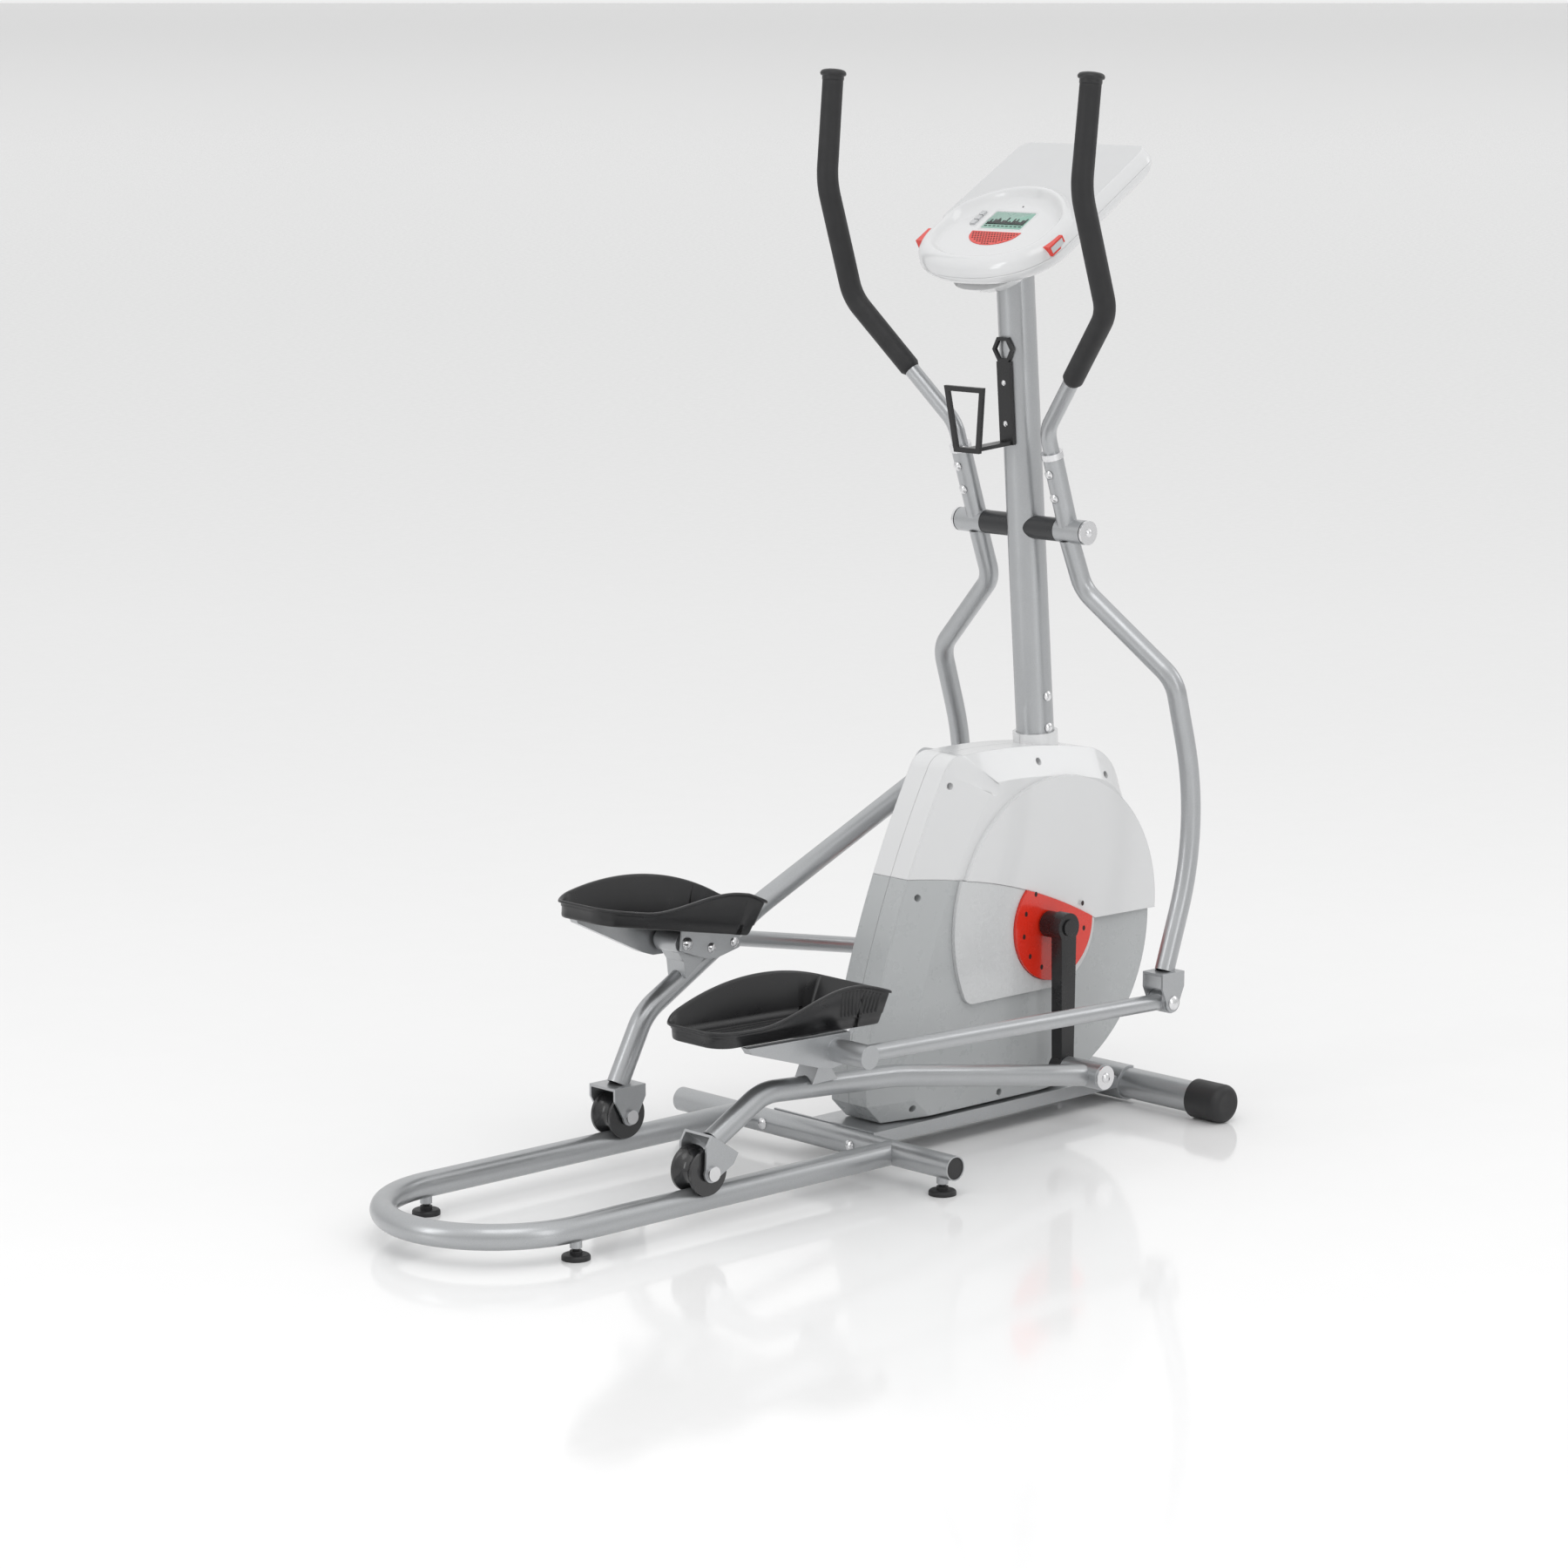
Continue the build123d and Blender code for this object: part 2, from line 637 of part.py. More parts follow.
# ---------------------------------------------------------------- shroud

SHELL_MIDDLE = 0.2
LINE_START = (120.0, 423.0)
LINE_KINK = (614.0, 314.0)
LINE_END = (790.0, 312.0)
FLOOR_OPENING = ((240, 40), (640, 40), (640, 100), (540, 58), (420, 54), (240, 54))
FLOOR_OPENING_OUT = 37.0


def shroud_face(plane, rear, top, front, bottom):
    """The shroud's side outline on a plane, pulled in at the rear, top, front and bottom."""
    floor = 48 + bottom
    with BuildSketch(plane) as outline:
        with BuildLine():
            Line((165 + rear, floor), (CRANK_X, floor))
            ThreePointArc((CRANK_X, floor), (687 - front * 0.7, 134), (757.5 - front, CRANK_Z))
            ThreePointArc((757.5 - front, CRANK_Z), (740 - front, 420), (704 - front, 500 - top * 0.4))
            ThreePointArc(
                (704 - front, 500 - top * 0.4), (684 - front, 552 - top * 0.9), (630 - front, 585 - top)
            )
            ThreePointArc((630 - front, 585 - top), (480, 603 - top), (345 + rear * 0.6, 604 - top))
            ThreePointArc(
                (345 + rear * 0.6, 604 - top), (318 + rear, 600 - top), (300 + rear, 580 - top * 0.8)
            )
            ThreePointArc((300 + rear, 580 - top * 0.8), (221 + rear, 421), (130 + rear, 140))
            Line((130 + rear, 140), (134 + rear, 78 + bottom))
            Line((134 + rear, 78 + bottom), (165 + rear, floor))
        make_face()
    return outline.sketch


def shroud_block(side, wall):
    """One half of the shroud as a solid, pulled in by a wall thickness."""
    frame = side_frame(0, 0, 0)
    middle = Plane(origin=spot(frame, side, 0, 0, SHELL_MIDDLE), x_dir=(1, 0, 0), z_dir=(0, -1, 0))
    flat = middle.offset(-side * (SHELL_FLAT - SHELL_MIDDLE))
    outer = middle.offset(-side * (SHELL_SIDE - wall - SHELL_MIDDLE))
    with BuildPart() as block:
        add(shroud_face(middle, wall, wall, wall, wall))
        extrude(amount=SHELL_FLAT - SHELL_MIDDLE, dir=(0, side, 0))
    with BuildPart() as flare:
        add(shroud_face(flat, wall, wall, wall, wall))
        add(shroud_face(outer, 82 + wall, 46 + wall, 10 + wall, 2 + wall))
        loft(ruled=True)
    return block.part + flare.part


def line_region(side, above):
    """Everything on one side of the sweeping line that parts the upper and lower shells."""
    frame = side_frame(0, 0, 0)
    gap = 0.15 if above else -0.15
    edge = 900 if above else -100
    start = (LINE_START[0], LINE_START[1] + gap)
    kink = (LINE_KINK[0], LINE_KINK[1] + gap)
    end = (LINE_END[0], LINE_END[1] + gap)
    plane, half = layer(frame, side, -1, 100)
    with BuildPart() as region:
        with BuildSketch(plane):
            with BuildLine():
                ThreePointArc(start, (400, 396 + gap), kink)
                Line(kink, end)
                Line(end, (LINE_END[0], edge))
                Line((LINE_END[0], edge), (LINE_START[0], edge))
                Line((LINE_START[0], edge), start)
            make_face()
        extrude(amount=half, both=True)
    return region.part


SCREW_AT = ((309, 560), (500, 578), (650, 540), (236, 394), (160, 160), (215, 66), (404, 62))
shroud_plane = side_frame(0, 0, 0)
collar_start = MAST_BASE + MAST_AXIS * (570 - MAST_BASE.Z)
collar_end = MAST_BASE + MAST_AXIS * (617 - MAST_BASE.Z)
mast_clear = rod(collar_start - MAST_AXIS * 60, collar_end + MAST_AXIS * 20, MAST_R + 0.3)


def half_space(side):
    """A big block over one side of the middle plane."""
    plane, half = layer(shroud_plane, side, SHELL_MIDDLE, 120)
    with BuildPart() as block:
        with BuildSketch(plane):
            with Locations((480, 350)):
                Rectangle(900, 800)
        extrude(amount=half, both=True)
    return block.part


def front_limit(side):
    """Everything behind the shroud's front wall, on one side."""
    plane, half = layer(shroud_plane, side, 0, 120)
    with BuildPart() as block:
        with BuildSketch(plane):
            with Locations((430, 350)):
                Rectangle(600, 800)
        extrude(amount=half, both=True)
    return block.part


for name, side in SIDES.items():
    outer_block = shroud_block(side, 0)
    collar = rod(collar_start, collar_end, MAST_R + 6) & half_space(side)
    bosses = [
        cross_rod(shroud_plane, side, at, SHELL_MIDDLE, 64, 8) & outer_block for at in SCREW_AT
    ]
    disc = cross_rod(shroud_plane, side, (DISC_X, DISC_Z), SHELL_SIDE - 0.1, DISC_FACE, DISC_R)
    disc_core = cross_rod(shroud_plane, side, (DISC_X, DISC_Z), 57, DISC_FACE - 3, DISC_R - 3)
    disc_hollow = disc_core & front_limit(side)
    upper_disc = disc & line_region(side, True)
    upper_hollow = disc_hollow & line_region(side, True)
    hub_hole = cross_rod(shroud_plane, side, (CRANK_X, CRANK_Z), 0, 90, 16)
    floor_opening = slab(shroud_plane, side, 0, FLOOR_OPENING_OUT, FLOOR_OPENING)
    with BuildPart() as shell:
        add(outer_block)
        add(shroud_block(side, SHELL_WALL), mode=Mode.SUBTRACT)
        add(collar)
        add(bosses)
        add(upper_disc)
        add(upper_hollow, mode=Mode.SUBTRACT)
        add(mast_clear, mode=Mode.SUBTRACT)
        add(hub_hole, mode=Mode.SUBTRACT)
        add(floor_opening, mode=Mode.SUBTRACT)
        for at in SCREW_AT:
            add(cross_rod(shroud_plane, side, at, 30, 90, 5.5), mode=Mode.SUBTRACT)
            add(cross_rod(shroud_plane, side, at, 0, 40, 3), mode=Mode.SUBTRACT)
    save(shell.part & line_region(side, True), f"upper_shroud_{name}")
    save(shell.part & line_region(side, False), f"lower_shroud_{name}")

with BuildPart() as housing_screws:
    for side in SIDES.values():
        for at in SCREW_AT:
            add(cross_rod(shroud_plane, side, at, 30, 34, 5))
            add(cross_rod(shroud_plane, side, at, 4, 30, 3))
    for up in (CAGE_SCREW_UP, -CAGE_SCREW_UP):
        base = cage_plane.from_local_coords(Vector(0, up, CAGE_PLATE))
        add(dome_bolt(base, cage_plane.z_dir, 4.5, 2.6, CAGE_PLATE - 0.5))
save(housing_screws.part, "housing_screws")

with BuildPart() as disc_covers:
    for side in SIDES.values():
        plate = cross_rod(shroud_plane, side, (DISC_X, DISC_Z), SHELL_SIDE + 0.1, DISC_FACE - 1, DISC_R + 9)
        plane, half = layer(shroud_plane, side, 0, 90)
        with BuildPart(mode=Mode.PRIVATE) as window:
            with BuildSketch(plane):
                with Locations((440, 340)):
                    Rectangle(360, 250)
            extrude(amount=half, both=True)
        with BuildPart(mode=Mode.PRIVATE) as front_round:
            with BuildSketch(plane):
                with Locations((COVER_X - 4, COVER_Z - 2)):
                    Circle(102)
                with Locations((390, 300)):
                    Rectangle(240, 400)
            extrude(amount=half, both=True)
        cover_hole = cross_rod(shroud_plane, side, (COVER_X, COVER_Z), 0, 90, COVER_R + 0.5)
        trimmed = plate & window.part & front_round.part & line_region(side, False)
        lower_corner = trimmed.edges().filter_by(Axis.Y).sort_by_distance((324, side * 66, 215))[0]
        add(trimmed.fillet(22, [lower_corner]) - cover_hole)
save(disc_covers.part, "disc_covers")

with BuildPart() as crank_covers:
    for side in SIDES.values():
        shield = cross_rod(shroud_plane, side, (COVER_X, COVER_Z), SHELL_SIDE + 0.1, 74, COVER_R)
        hole = cross_rod(shroud_plane, side, (CRANK_X, CRANK_Z), 0, 90, 16)
        add((shield & line_region(side, False)) - hole)
save(crank_covers.part, "crank_covers")

# ---------------------------------------------------------------- drive

with BuildPart() as crank_axle:
    add(cross_rod(bearing_plane, 1, (0, 0), -CRANK_OUT, CRANK_OUT, AXLE_R))
    for side in SIDES.values():
        add(cross_rod(bearing_plane, side, (0, 0), CRANK_OUT, CRANK_OUT + 3, 13))
save(crank_axle.part, "crank_axle")

pulley = cross_rod(bearing_plane, 1, (0, 0), PULLEY_IN, PULLEY_OUT, BIG_PULLEY_R, AXLE_R)
pulley_windows = []
for index in range(5):
    ahead, above = turned((75, 0), index * 72)
    pulley_windows.append(cross_rod(bearing_plane, 1, (ahead, above), PULLEY_IN, PULLEY_OUT, 26))
with BuildPart() as drive_pulley:
    add(pulley)
    add(pulley_windows, mode=Mode.SUBTRACT)
save(drive_pulley.part, "drive_pulley")

with BuildPart() as flywheel:
    add(cross_rod(flywheel_plane, 1, (0, 0), -14, 14, FLYWHEEL_R))
    add(cross_rod(flywheel_plane, 1, (0, 0), -38, 58, 8))
    add(cross_rod(flywheel_plane, 1, (0, 0), PULLEY_IN, PULLEY_OUT, SMALL_PULLEY_R))
save(flywheel.part, "flywheel")

belt_plane, belt_half = layer(bearing_plane, 1, PULLEY_IN + 0.5, PULLEY_OUT - 0.5)
small_at = (FLYWHEEL_X - CRANK_X, FLYWHEEL_Z - CRANK_Z)


def belt_loop(big, small):
    """The outline round both pulleys, filled."""
    with BuildPart() as loop:
        with BuildSketch(belt_plane):
            Circle(big)
            with Locations(small_at):
                Circle(small)
            make_hull()
        extrude(amount=belt_half, both=True)
    return loop.part


with BuildPart() as drive_belt:
    add(belt_loop(BIG_PULLEY_R + 3.3, SMALL_PULLEY_R + 3.3))
    add(belt_loop(BIG_PULLEY_R + 0.3, SMALL_PULLEY_R + 0.3), mode=Mode.SUBTRACT)
save(drive_belt.part, "drive_belt")

for name, side in SIDES.items():
    plane, half = layer(bearing_plane, side, CRANK_IN, CRANK_OUT)
    throw = side * CRANK_THROW
    with BuildPart() as crank_arm:
        with BuildSketch(plane):
            Circle(23)
            with Locations((0, throw)):
                Circle(22)
            with BuildLine():
                Polyline((-17, 0), (17, 0), (13.5, throw), (-13.5, throw), close=True)
            make_face()
        extrude(amount=half, both=True)
        add(cross_rod(bearing_plane, side, (0, 0), 78, CRANK_IN, 21))
        add(cross_rod(bearing_plane, side, (0, 0), 70, CRANK_OUT, AXLE_R), mode=Mode.SUBTRACT)
    save(crank_arm.part, f"crank_arm_{name}")

# ---------------------------------------------------------------- leg arms and rollers

for name, side in SIDES.items():
    frame = leg_frame(side)
    fork = fork_frame(side)

    with BuildPart() as roller_axle:
        add(cross_rod(fork, side, (0, 0), LEG_Y - FORK_OUT - 6, LEG_Y + FORK_OUT + 6, ROLLER_AXLE_R))
        for out in (LEG_Y - FORK_OUT - 6, LEG_Y + FORK_OUT + 0.3):
            add(cross_rod(fork, side, (0, 0), out, out + 5.7, 11))
    save(roller_axle.part, f"roller_axle_{name}")

    groove_depth = WHEEL_Z - RAIL_Z
    groove_r = RAIL_R + 0.4
    edge_y = sqrt(groove_r**2 - (groove_depth - WHEEL_R) ** 2)
    hub_plane = Plane(origin=spot(fork, side, 0, 0, LEG_Y), x_dir=(0, 1, 0), z_dir=(1, 0, 0))
    with BuildPart() as roller_wheel:
        with BuildSketch(hub_plane):
            with BuildLine():
                Line((-WHEEL_HALF, WHEEL_BORE), (-WHEEL_HALF, WHEEL_R))
                Line((-WHEEL_HALF, WHEEL_R), (-edge_y, WHEEL_R))
                ThreePointArc((-edge_y, WHEEL_R), (0, groove_depth - groove_r), (edge_y, WHEEL_R))
                Line((edge_y, WHEEL_R), (WHEEL_HALF, WHEEL_R))
                Line((WHEEL_HALF, WHEEL_R), (WHEEL_HALF, WHEEL_BORE))
                Line((WHEEL_HALF, WHEEL_BORE), (-WHEEL_HALF, WHEEL_BORE))
            make_face()
        revolve(axis=Axis(hub_plane.origin, (0, 1, 0)))
    save(roller_wheel.part, f"roller_wheel_{name}")

    fork_top = turned((0, 46), -FORK_TILT)
    route = [fork_top, (128, 93), (400, 72), (LEG_LENGTH - 16, 1)]
    tube = bent_tube([spot(frame, side, u, v, LEG_Y) for u, v in route], [85, 500], LEG_TUBE_R, 2.2)
    cheek = ((-31, 47), (-31, 28), (-13, -3), (13, -3), (31, 28), (31, 47))
    cheeks = [
        slab(fork, side, LEG_Y - FORK_OUT, LEG_Y - FORK_IN, cheek, 2),
        slab(fork, side, LEG_Y + FORK_IN, LEG_Y + FORK_OUT, cheek, 2),
    ]
    eyes = [
        cross_rod(fork, side, (0, 0), LEG_Y - FORK_OUT, LEG_Y - FORK_IN, 14),
        cross_rod(fork, side, (0, 0), LEG_Y + FORK_IN, LEG_Y + FORK_OUT, 14),
    ]
    roof = ((-31, 43), (31, 43), (31, 47), (-31, 47))
    roof_plate = slab(fork, side, LEG_Y - FORK_OUT, LEG_Y + FORK_OUT, roof)
    post_outline = ((210, 94), (222, 118), (221, 142), (249, 142), (250, 112), (262, 94))
    post_plate = slab(frame, side, LEG_Y - 20, LEG_Y + 20, post_outline)
    post_core = ((214, 90), (225, 118), (224, 140), (246, 140), (247, 112), (259, 90))
    post_hollow = slab(frame, side, LEG_Y - 17, LEG_Y + 17, post_core)
    pin = (LEG_LENGTH, 0)
    with BuildPart() as leg_arm:
        add(post_plate)
        add(post_hollow, mode=Mode.SUBTRACT)
        add(cross_rod(frame, side, POST_AT, HOUSING_IN, HOUSING_OUT, 17))
        add(cross_rod(frame, side, POST_AT, 100, 220, PIVOT_R + 0.05), mode=Mode.SUBTRACT)
        add(tube)
        add(cheeks)
        add(eyes)
        add(roof_plate)
        add(cross_rod(fork, side, (0, 0), 100, 230, ROLLER_AXLE_R + 0.05), mode=Mode.SUBTRACT)
        add(cross_rod(frame, side, pin, CRANK_OUT + GAP, 200, 21))
        add(cross_rod(frame, side, pin, CRANK_OUT, 201, 9), mode=Mode.SUBTRACT)
    save(leg_arm.part, f"leg_arm_{name}")

    with BuildPart() as leg_hub_bolt:
        add(cross_rod(frame, side, pin, CRANK_OUT + GAP, 200, 9))
        add(cross_rod(frame, side, pin, 200, 204, 19))
        head = spot(frame, side, LEG_LENGTH, 0, 204)
        add(dome_bolt(head, (0, side, 0), 8, 4, 2))
    save(leg_hub_bolt.part, f"leg_hub_bolt_{name}")

# ---------------------------------------------------------------- foot links and pedals

CHANNEL_IN = 198.0
CHANNEL_OUT = 214.0
PLATE_IN = 134.0
PLATE_OUT = 138.0
PLATE_BOLTS = ((52, -4), (98, 7))
PEDAL_IN = 70.0
PEDAL_OUT = 208.0
PEDAL_REAR = -231.0
PEDAL_FRONT_IN = 102.0
PEDAL_FRONT_OUT = 128.0
PEDAL_FLOOR = 24.0
PEDAL_WALL = 4.0
PEDAL_REACH = 120.0
PEDAL_HEEL = 50.0
PEDAL_CREST = (-36.0, 97.0)
PEDAL_TOE = 71.0
PEDAL_NOSE = 38.0


def pedal_block(frame, side, inset, rim, floor):
    """The pedal's tray shape, pulled in by an inset, with its arched rim lifted by a height."""
    front_in = PEDAL_FRONT_IN - inset
    front_out = PEDAL_FRONT_OUT - inset
    rear = PEDAL_REAR + inset
    near = PEDAL_IN + inset
    far = PEDAL_OUT - inset
    heel = (rear + 14, PEDAL_HEEL + rim)
    crest = (PEDAL_CREST[0], PEDAL_CREST[1] + rim)
    toe = (front_out, PEDAL_TOE + rim)
    plane, half = layer(frame, side, near, far)
    with BuildPart() as side_shape:
        with BuildSketch(plane):
            with BuildLine():
                Line((rear, floor), (rear, heel[1]))
                Line((rear, heel[1]), heel)
                ThreePointArc(heel, crest, toe)
                Line(toe, (front_out, floor + PEDAL_NOSE))
                Line((front_out, floor + PEDAL_NOSE), (front_out - PEDAL_NOSE, floor))
                Line((front_out - PEDAL_NOSE, floor), (rear, floor))
            make_face()
        extrude(amount=half, both=True)
    plan = Plane(origin=spot(frame, side, 0, 0, 0), x_dir=frame.x_dir, z_dir=frame.y_dir)
    with BuildPart() as footprint:
        with BuildSketch(plan):
            with BuildLine():
                FilletPolyline(
                    (rear, side * near),
                    (front_in, side * near),
                    (front_out, side * far),
                    (rear, side * far),
                    radius=38 - inset,
                    close=True,
                )
            make_face()
        extrude(amount=PEDAL_REACH)
    return side_shape.part & footprint.part


for name, side in SIDES.items():
    frame = link_frame(side)
    link_start = spot(frame, side, 12, 0, LINK_Y)
    link_end = spot(frame, side, LINK_LENGTH - 14, 0, LINK_Y)
    link_tube = rod(link_start, link_end, LINK_TUBE_R, LINK_TUBE_R - 2)
    channel = ((-178, 24), (-170, 14), (-30, -24), (-8, -27), (12, -24), (26, -8), (28, 24))
    channel_core = ((-176, 30), (-168, 18), (-30, -20.5), (-8, -24), (11, -21), (23, -7), (25, 30))
    plate_outline = ((-14, 24), (-11, -12), (41, -21), (66, -19), (111, 0), (108, 24))
    with BuildPart() as foot_link:
        add(slab(frame, side, CHANNEL_IN, CHANNEL_OUT, channel))
        add(slab(frame, side, CHANNEL_IN + 3, CHANNEL_OUT - 3, channel_core), mode=Mode.SUBTRACT)
        add(cross_rod(frame, side, (0, 0), CHANNEL_IN, 285, 18))
        add(cross_rod(frame, side, (0, 0), CHANNEL_OUT, 282, 15.5), mode=Mode.SUBTRACT)
        add(link_tube)
        add(cross_rod(frame, side, (0, 0), CHANNEL_OUT, 282, 15.5), mode=Mode.SUBTRACT)
        add(cross_rod(frame, side, (LINK_LENGTH, 0), LINK_Y - SLEEVE_HALF, LINK_Y + SLEEVE_HALF, 17, 9))
        add(cross_rod(frame, side, (0, 0), 100, CHANNEL_OUT, PIVOT_R), mode=Mode.SUBTRACT)
        add(slab(frame, side, PLATE_IN, PLATE_OUT, plate_outline, 3))
        add(cross_rod(frame, side, (0, 0), 130, 140, PIVOT_R), mode=Mode.SUBTRACT)
        for at in PLATE_BOLTS:
            add(cross_rod(frame, side, at, 130, 140, 4), mode=Mode.SUBTRACT)
    save(foot_link.part, f"foot_link_{name}")

    with BuildPart() as pedal_bolts:
        pivot_head = spot(frame, side, 0, 0, PLATE_IN)
        add(dome_bolt(pivot_head, (0, -side, 0), 10, PIVOT_R, CHANNEL_OUT - PLATE_IN))
        for at in PLATE_BOLTS:
            head = spot(frame, side, at[0], at[1], PLATE_IN)
            add(dome_bolt(head, (0, -side, 0), 8, 4, PLATE_OUT - PLATE_IN))
    save(pedal_bolts.part, f"pedal_bolts_{name}")

    shell_hollow = pedal_block(frame, side, PEDAL_WALL, 30, PEDAL_FLOOR + PEDAL_WALL)
    with BuildPart() as pedal:
        add(pedal_block(frame, side, 0, 0, PEDAL_FLOOR))
        add(shell_hollow, mode=Mode.SUBTRACT)
    save(pedal.part, f"pedal_{name}")

# ---------------------------------------------------------------- swinging handlebars

CLEVIS_IN = SLEEVE_HALF + GAP
CLEVIS_OUT = CLEVIS_IN + 3.5
GRIP_START = 0.42

for name, side in SIDES.items():
    frame = bar_frame(side)
    hang = (BAR_LEVER * sin(radians(BAR_REST)), -BAR_LEVER * cos(radians(BAR_REST)))

    def bar_spot(x, out, z):
        """A point of the handlebar at its common angle, placed for this side."""
        return spot(frame, side, x - BAR_X, z - BAR_Z, out)

    upper_route = [
        bar_spot(478.4, 98, 1050),
        bar_spot(460.1, 98, 1105),
        bar_spot(404, 270, 1297),
        bar_spot(346, 268.5, 1480),
        bar_spot(362, 270, 1643),
    ]
    with BuildPart() as handlebar_tube:
        add(bent_tube(upper_route, [50, 60, 120], BAR_TUBE_R, 2))
    save(handlebar_tube.part, f"handlebar_tube_{name}")

    lower_route = [
        bar_spot(513.5, 98, 934),
        bar_spot(545, 101, 852),
        bar_spot(590, 254, 720),
        bar_spot(657.6, 252, 486),
        bar_spot(573, 259, 264),
    ]
    socket_end = bar_spot(474.4, 98, 1062)
    hub_middle = bar_spot(BAR_X, 98, BAR_Z)
    socket_way = (socket_end - hub_middle).normalized()
    rear_way = socket_way.cross(Vector(0, 1, 0))
    fork_eye = (hang[0], hang[1])
    plate_shape = [
        (hang[0] + forward, hang[1] + up)
        for forward, up in ((-25, 48), (-25, 24), (-12, -4), (12, -4), (25, 24), (25, 48))
    ]
    bridge_shape = [
        (hang[0] + forward, hang[1] + up) for forward, up in ((-25, 44), (25, 44), (25, 48), (-25, 48))
    ]
    axle_bore = cross_rod(frame, side, (0, 0), BAR_HOUSING_IN, BAR_HOUSING_OUT, BAR_AXLE_R + 0.05)
    with BuildPart() as lower_arm:
        add(bent_tube(lower_route, [50, 55, 420], LOWER_TUBE_R, 2.2))
        add(rod(hub_middle, socket_end, SOCKET_R))
        add(rod(hub_middle, socket_end, BAR_TUBE_R + 0.1), mode=Mode.SUBTRACT)
        add(cross_rod(frame, side, (0, 0), BAR_HOUSING_IN, BAR_HOUSING_OUT, 19))
        add(axle_bore, mode=Mode.SUBTRACT)
        for inner, outer in ((-CLEVIS_OUT, -CLEVIS_IN), (CLEVIS_IN, CLEVIS_OUT)):
            add(slab(frame, side, LINK_Y + inner, LINK_Y + outer, plate_shape, 2))
            add(cross_rod(frame, side, fork_eye, LINK_Y + inner, LINK_Y + outer, 15))
        add(slab(frame, side, LINK_Y - CLEVIS_OUT, LINK_Y + CLEVIS_OUT, bridge_shape))
        add(cross_rod(frame, side, fork_eye, LINK_Y - 40, LINK_Y + 40, PIVOT_R), mode=Mode.SUBTRACT)
        for back in SOCKET_BOLTS:
            middle = socket_end - socket_way * back
            add(rod(middle, middle + rear_way * 30, 3.5), mode=Mode.SUBTRACT)
    save(lower_arm.part, f"lower_arm_{name}")

    grip_route = [
        upper_route[1] + (upper_route[2] - upper_route[1]) * GRIP_START,
        bar_spot(404, 270, 1297),
        bar_spot(346, 268.5, 1480),
        bar_spot(362, 270, 1643),
    ]
    cap_base = bar_spot(362, 270, 1643)
    cap_way = (cap_base - bar_spot(346, 268.5, 1480)).normalized()
    with BuildPart() as grip:
        add(bent_tube(grip_route, [60, 120], GRIP_R, GRIP_R - BAR_TUBE_R))
        add(dome_bolt(cap_base + cap_way * 0.1, cap_way, 20, GRIP_R, 3))
        add(rod(cap_base - cap_way * 8, cap_base, BAR_TUBE_R), mode=Mode.SUBTRACT)
    save(grip.part, f"grip_{name}")

    with BuildPart() as bar_fittings:
        add(rod(socket_end, socket_end + socket_way * 10, 17.5, BAR_TUBE_R + 0.1))
        for back in SOCKET_BOLTS:
            base = socket_end - socket_way * back + rear_way * SOCKET_R
            add(dome_bolt(base, rear_way, 7.5, 3.5, SOCKET_R - BAR_TUBE_R - 0.5))
        for toward in (-1, 1):
            plate_face = spot(frame, side, hang[0], hang[1], LINK_Y + toward * CLEVIS_OUT)
            add(dome_bolt(plate_face, (0, toward * side, 0), 11, PIVOT_R, CLEVIS_OUT - CLEVIS_IN))
    save(bar_fittings.part, f"bar_fittings_{name}")
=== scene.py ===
"""Looks for the elliptical trainer: camera, light, materials and the moulded pieces.

Metres, in the CAD part's frame. The CAD nodes keep their shape and get detailed materials. The foam
grips, foot trays, console shells and display are modelled here in more detail and replace
their CAD nodes; the grille is modelled here and laid on the console.
"""

import json
from math import asin, atan2, cos, degrees, hypot, pi, radians, sin, sqrt

import bmesh
import bpy
import numpy as np
from mathutils import Matrix, Vector


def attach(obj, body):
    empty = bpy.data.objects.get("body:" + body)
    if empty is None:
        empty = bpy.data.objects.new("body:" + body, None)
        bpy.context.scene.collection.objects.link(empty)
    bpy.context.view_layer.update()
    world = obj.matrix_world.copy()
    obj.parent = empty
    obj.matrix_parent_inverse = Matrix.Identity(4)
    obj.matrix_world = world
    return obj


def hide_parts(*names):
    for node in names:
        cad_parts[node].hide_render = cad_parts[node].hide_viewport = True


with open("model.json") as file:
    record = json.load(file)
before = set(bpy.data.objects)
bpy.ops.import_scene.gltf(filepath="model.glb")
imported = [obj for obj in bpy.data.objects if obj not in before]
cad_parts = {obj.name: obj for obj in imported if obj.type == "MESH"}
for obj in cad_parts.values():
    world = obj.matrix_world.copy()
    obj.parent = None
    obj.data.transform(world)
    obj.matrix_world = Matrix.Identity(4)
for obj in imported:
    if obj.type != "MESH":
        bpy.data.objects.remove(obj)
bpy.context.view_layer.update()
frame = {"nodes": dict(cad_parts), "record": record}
nodes = frame["nodes"]
SIDES = {"right": -1, "left": 1}
MM = 0.001

# ---------------------------------------------------------------- linkage at rest, in millimetres

CRANK_X = 497.5
CRANK_Z = 322.0
CRANK_THROW = 228.0
WHEEL_Z = 88.0
LEG_LENGTH = 832.0
POST_AT = (234.5, 147.0)
LINK_LENGTH = 665.5
BAR_X = 513.0
BAR_Z = 946.0
BAR_LEVER = 731.0
BAR_REST = 4.32


def turned(point, tilt):
    """A point turned about the origin by a tilt in degrees."""
    a = radians(tilt)
    x, z = point
    return x * cos(a) - z * sin(a), x * sin(a) + z * cos(a)


def leg_state(side):
    """Roller axle X and leg tilt."""
    rise = CRANK_Z + side * CRANK_THROW - WHEEL_Z
    return CRANK_X - sqrt(LEG_LENGTH**2 - rise**2), degrees(asin(rise / LEG_LENGTH))


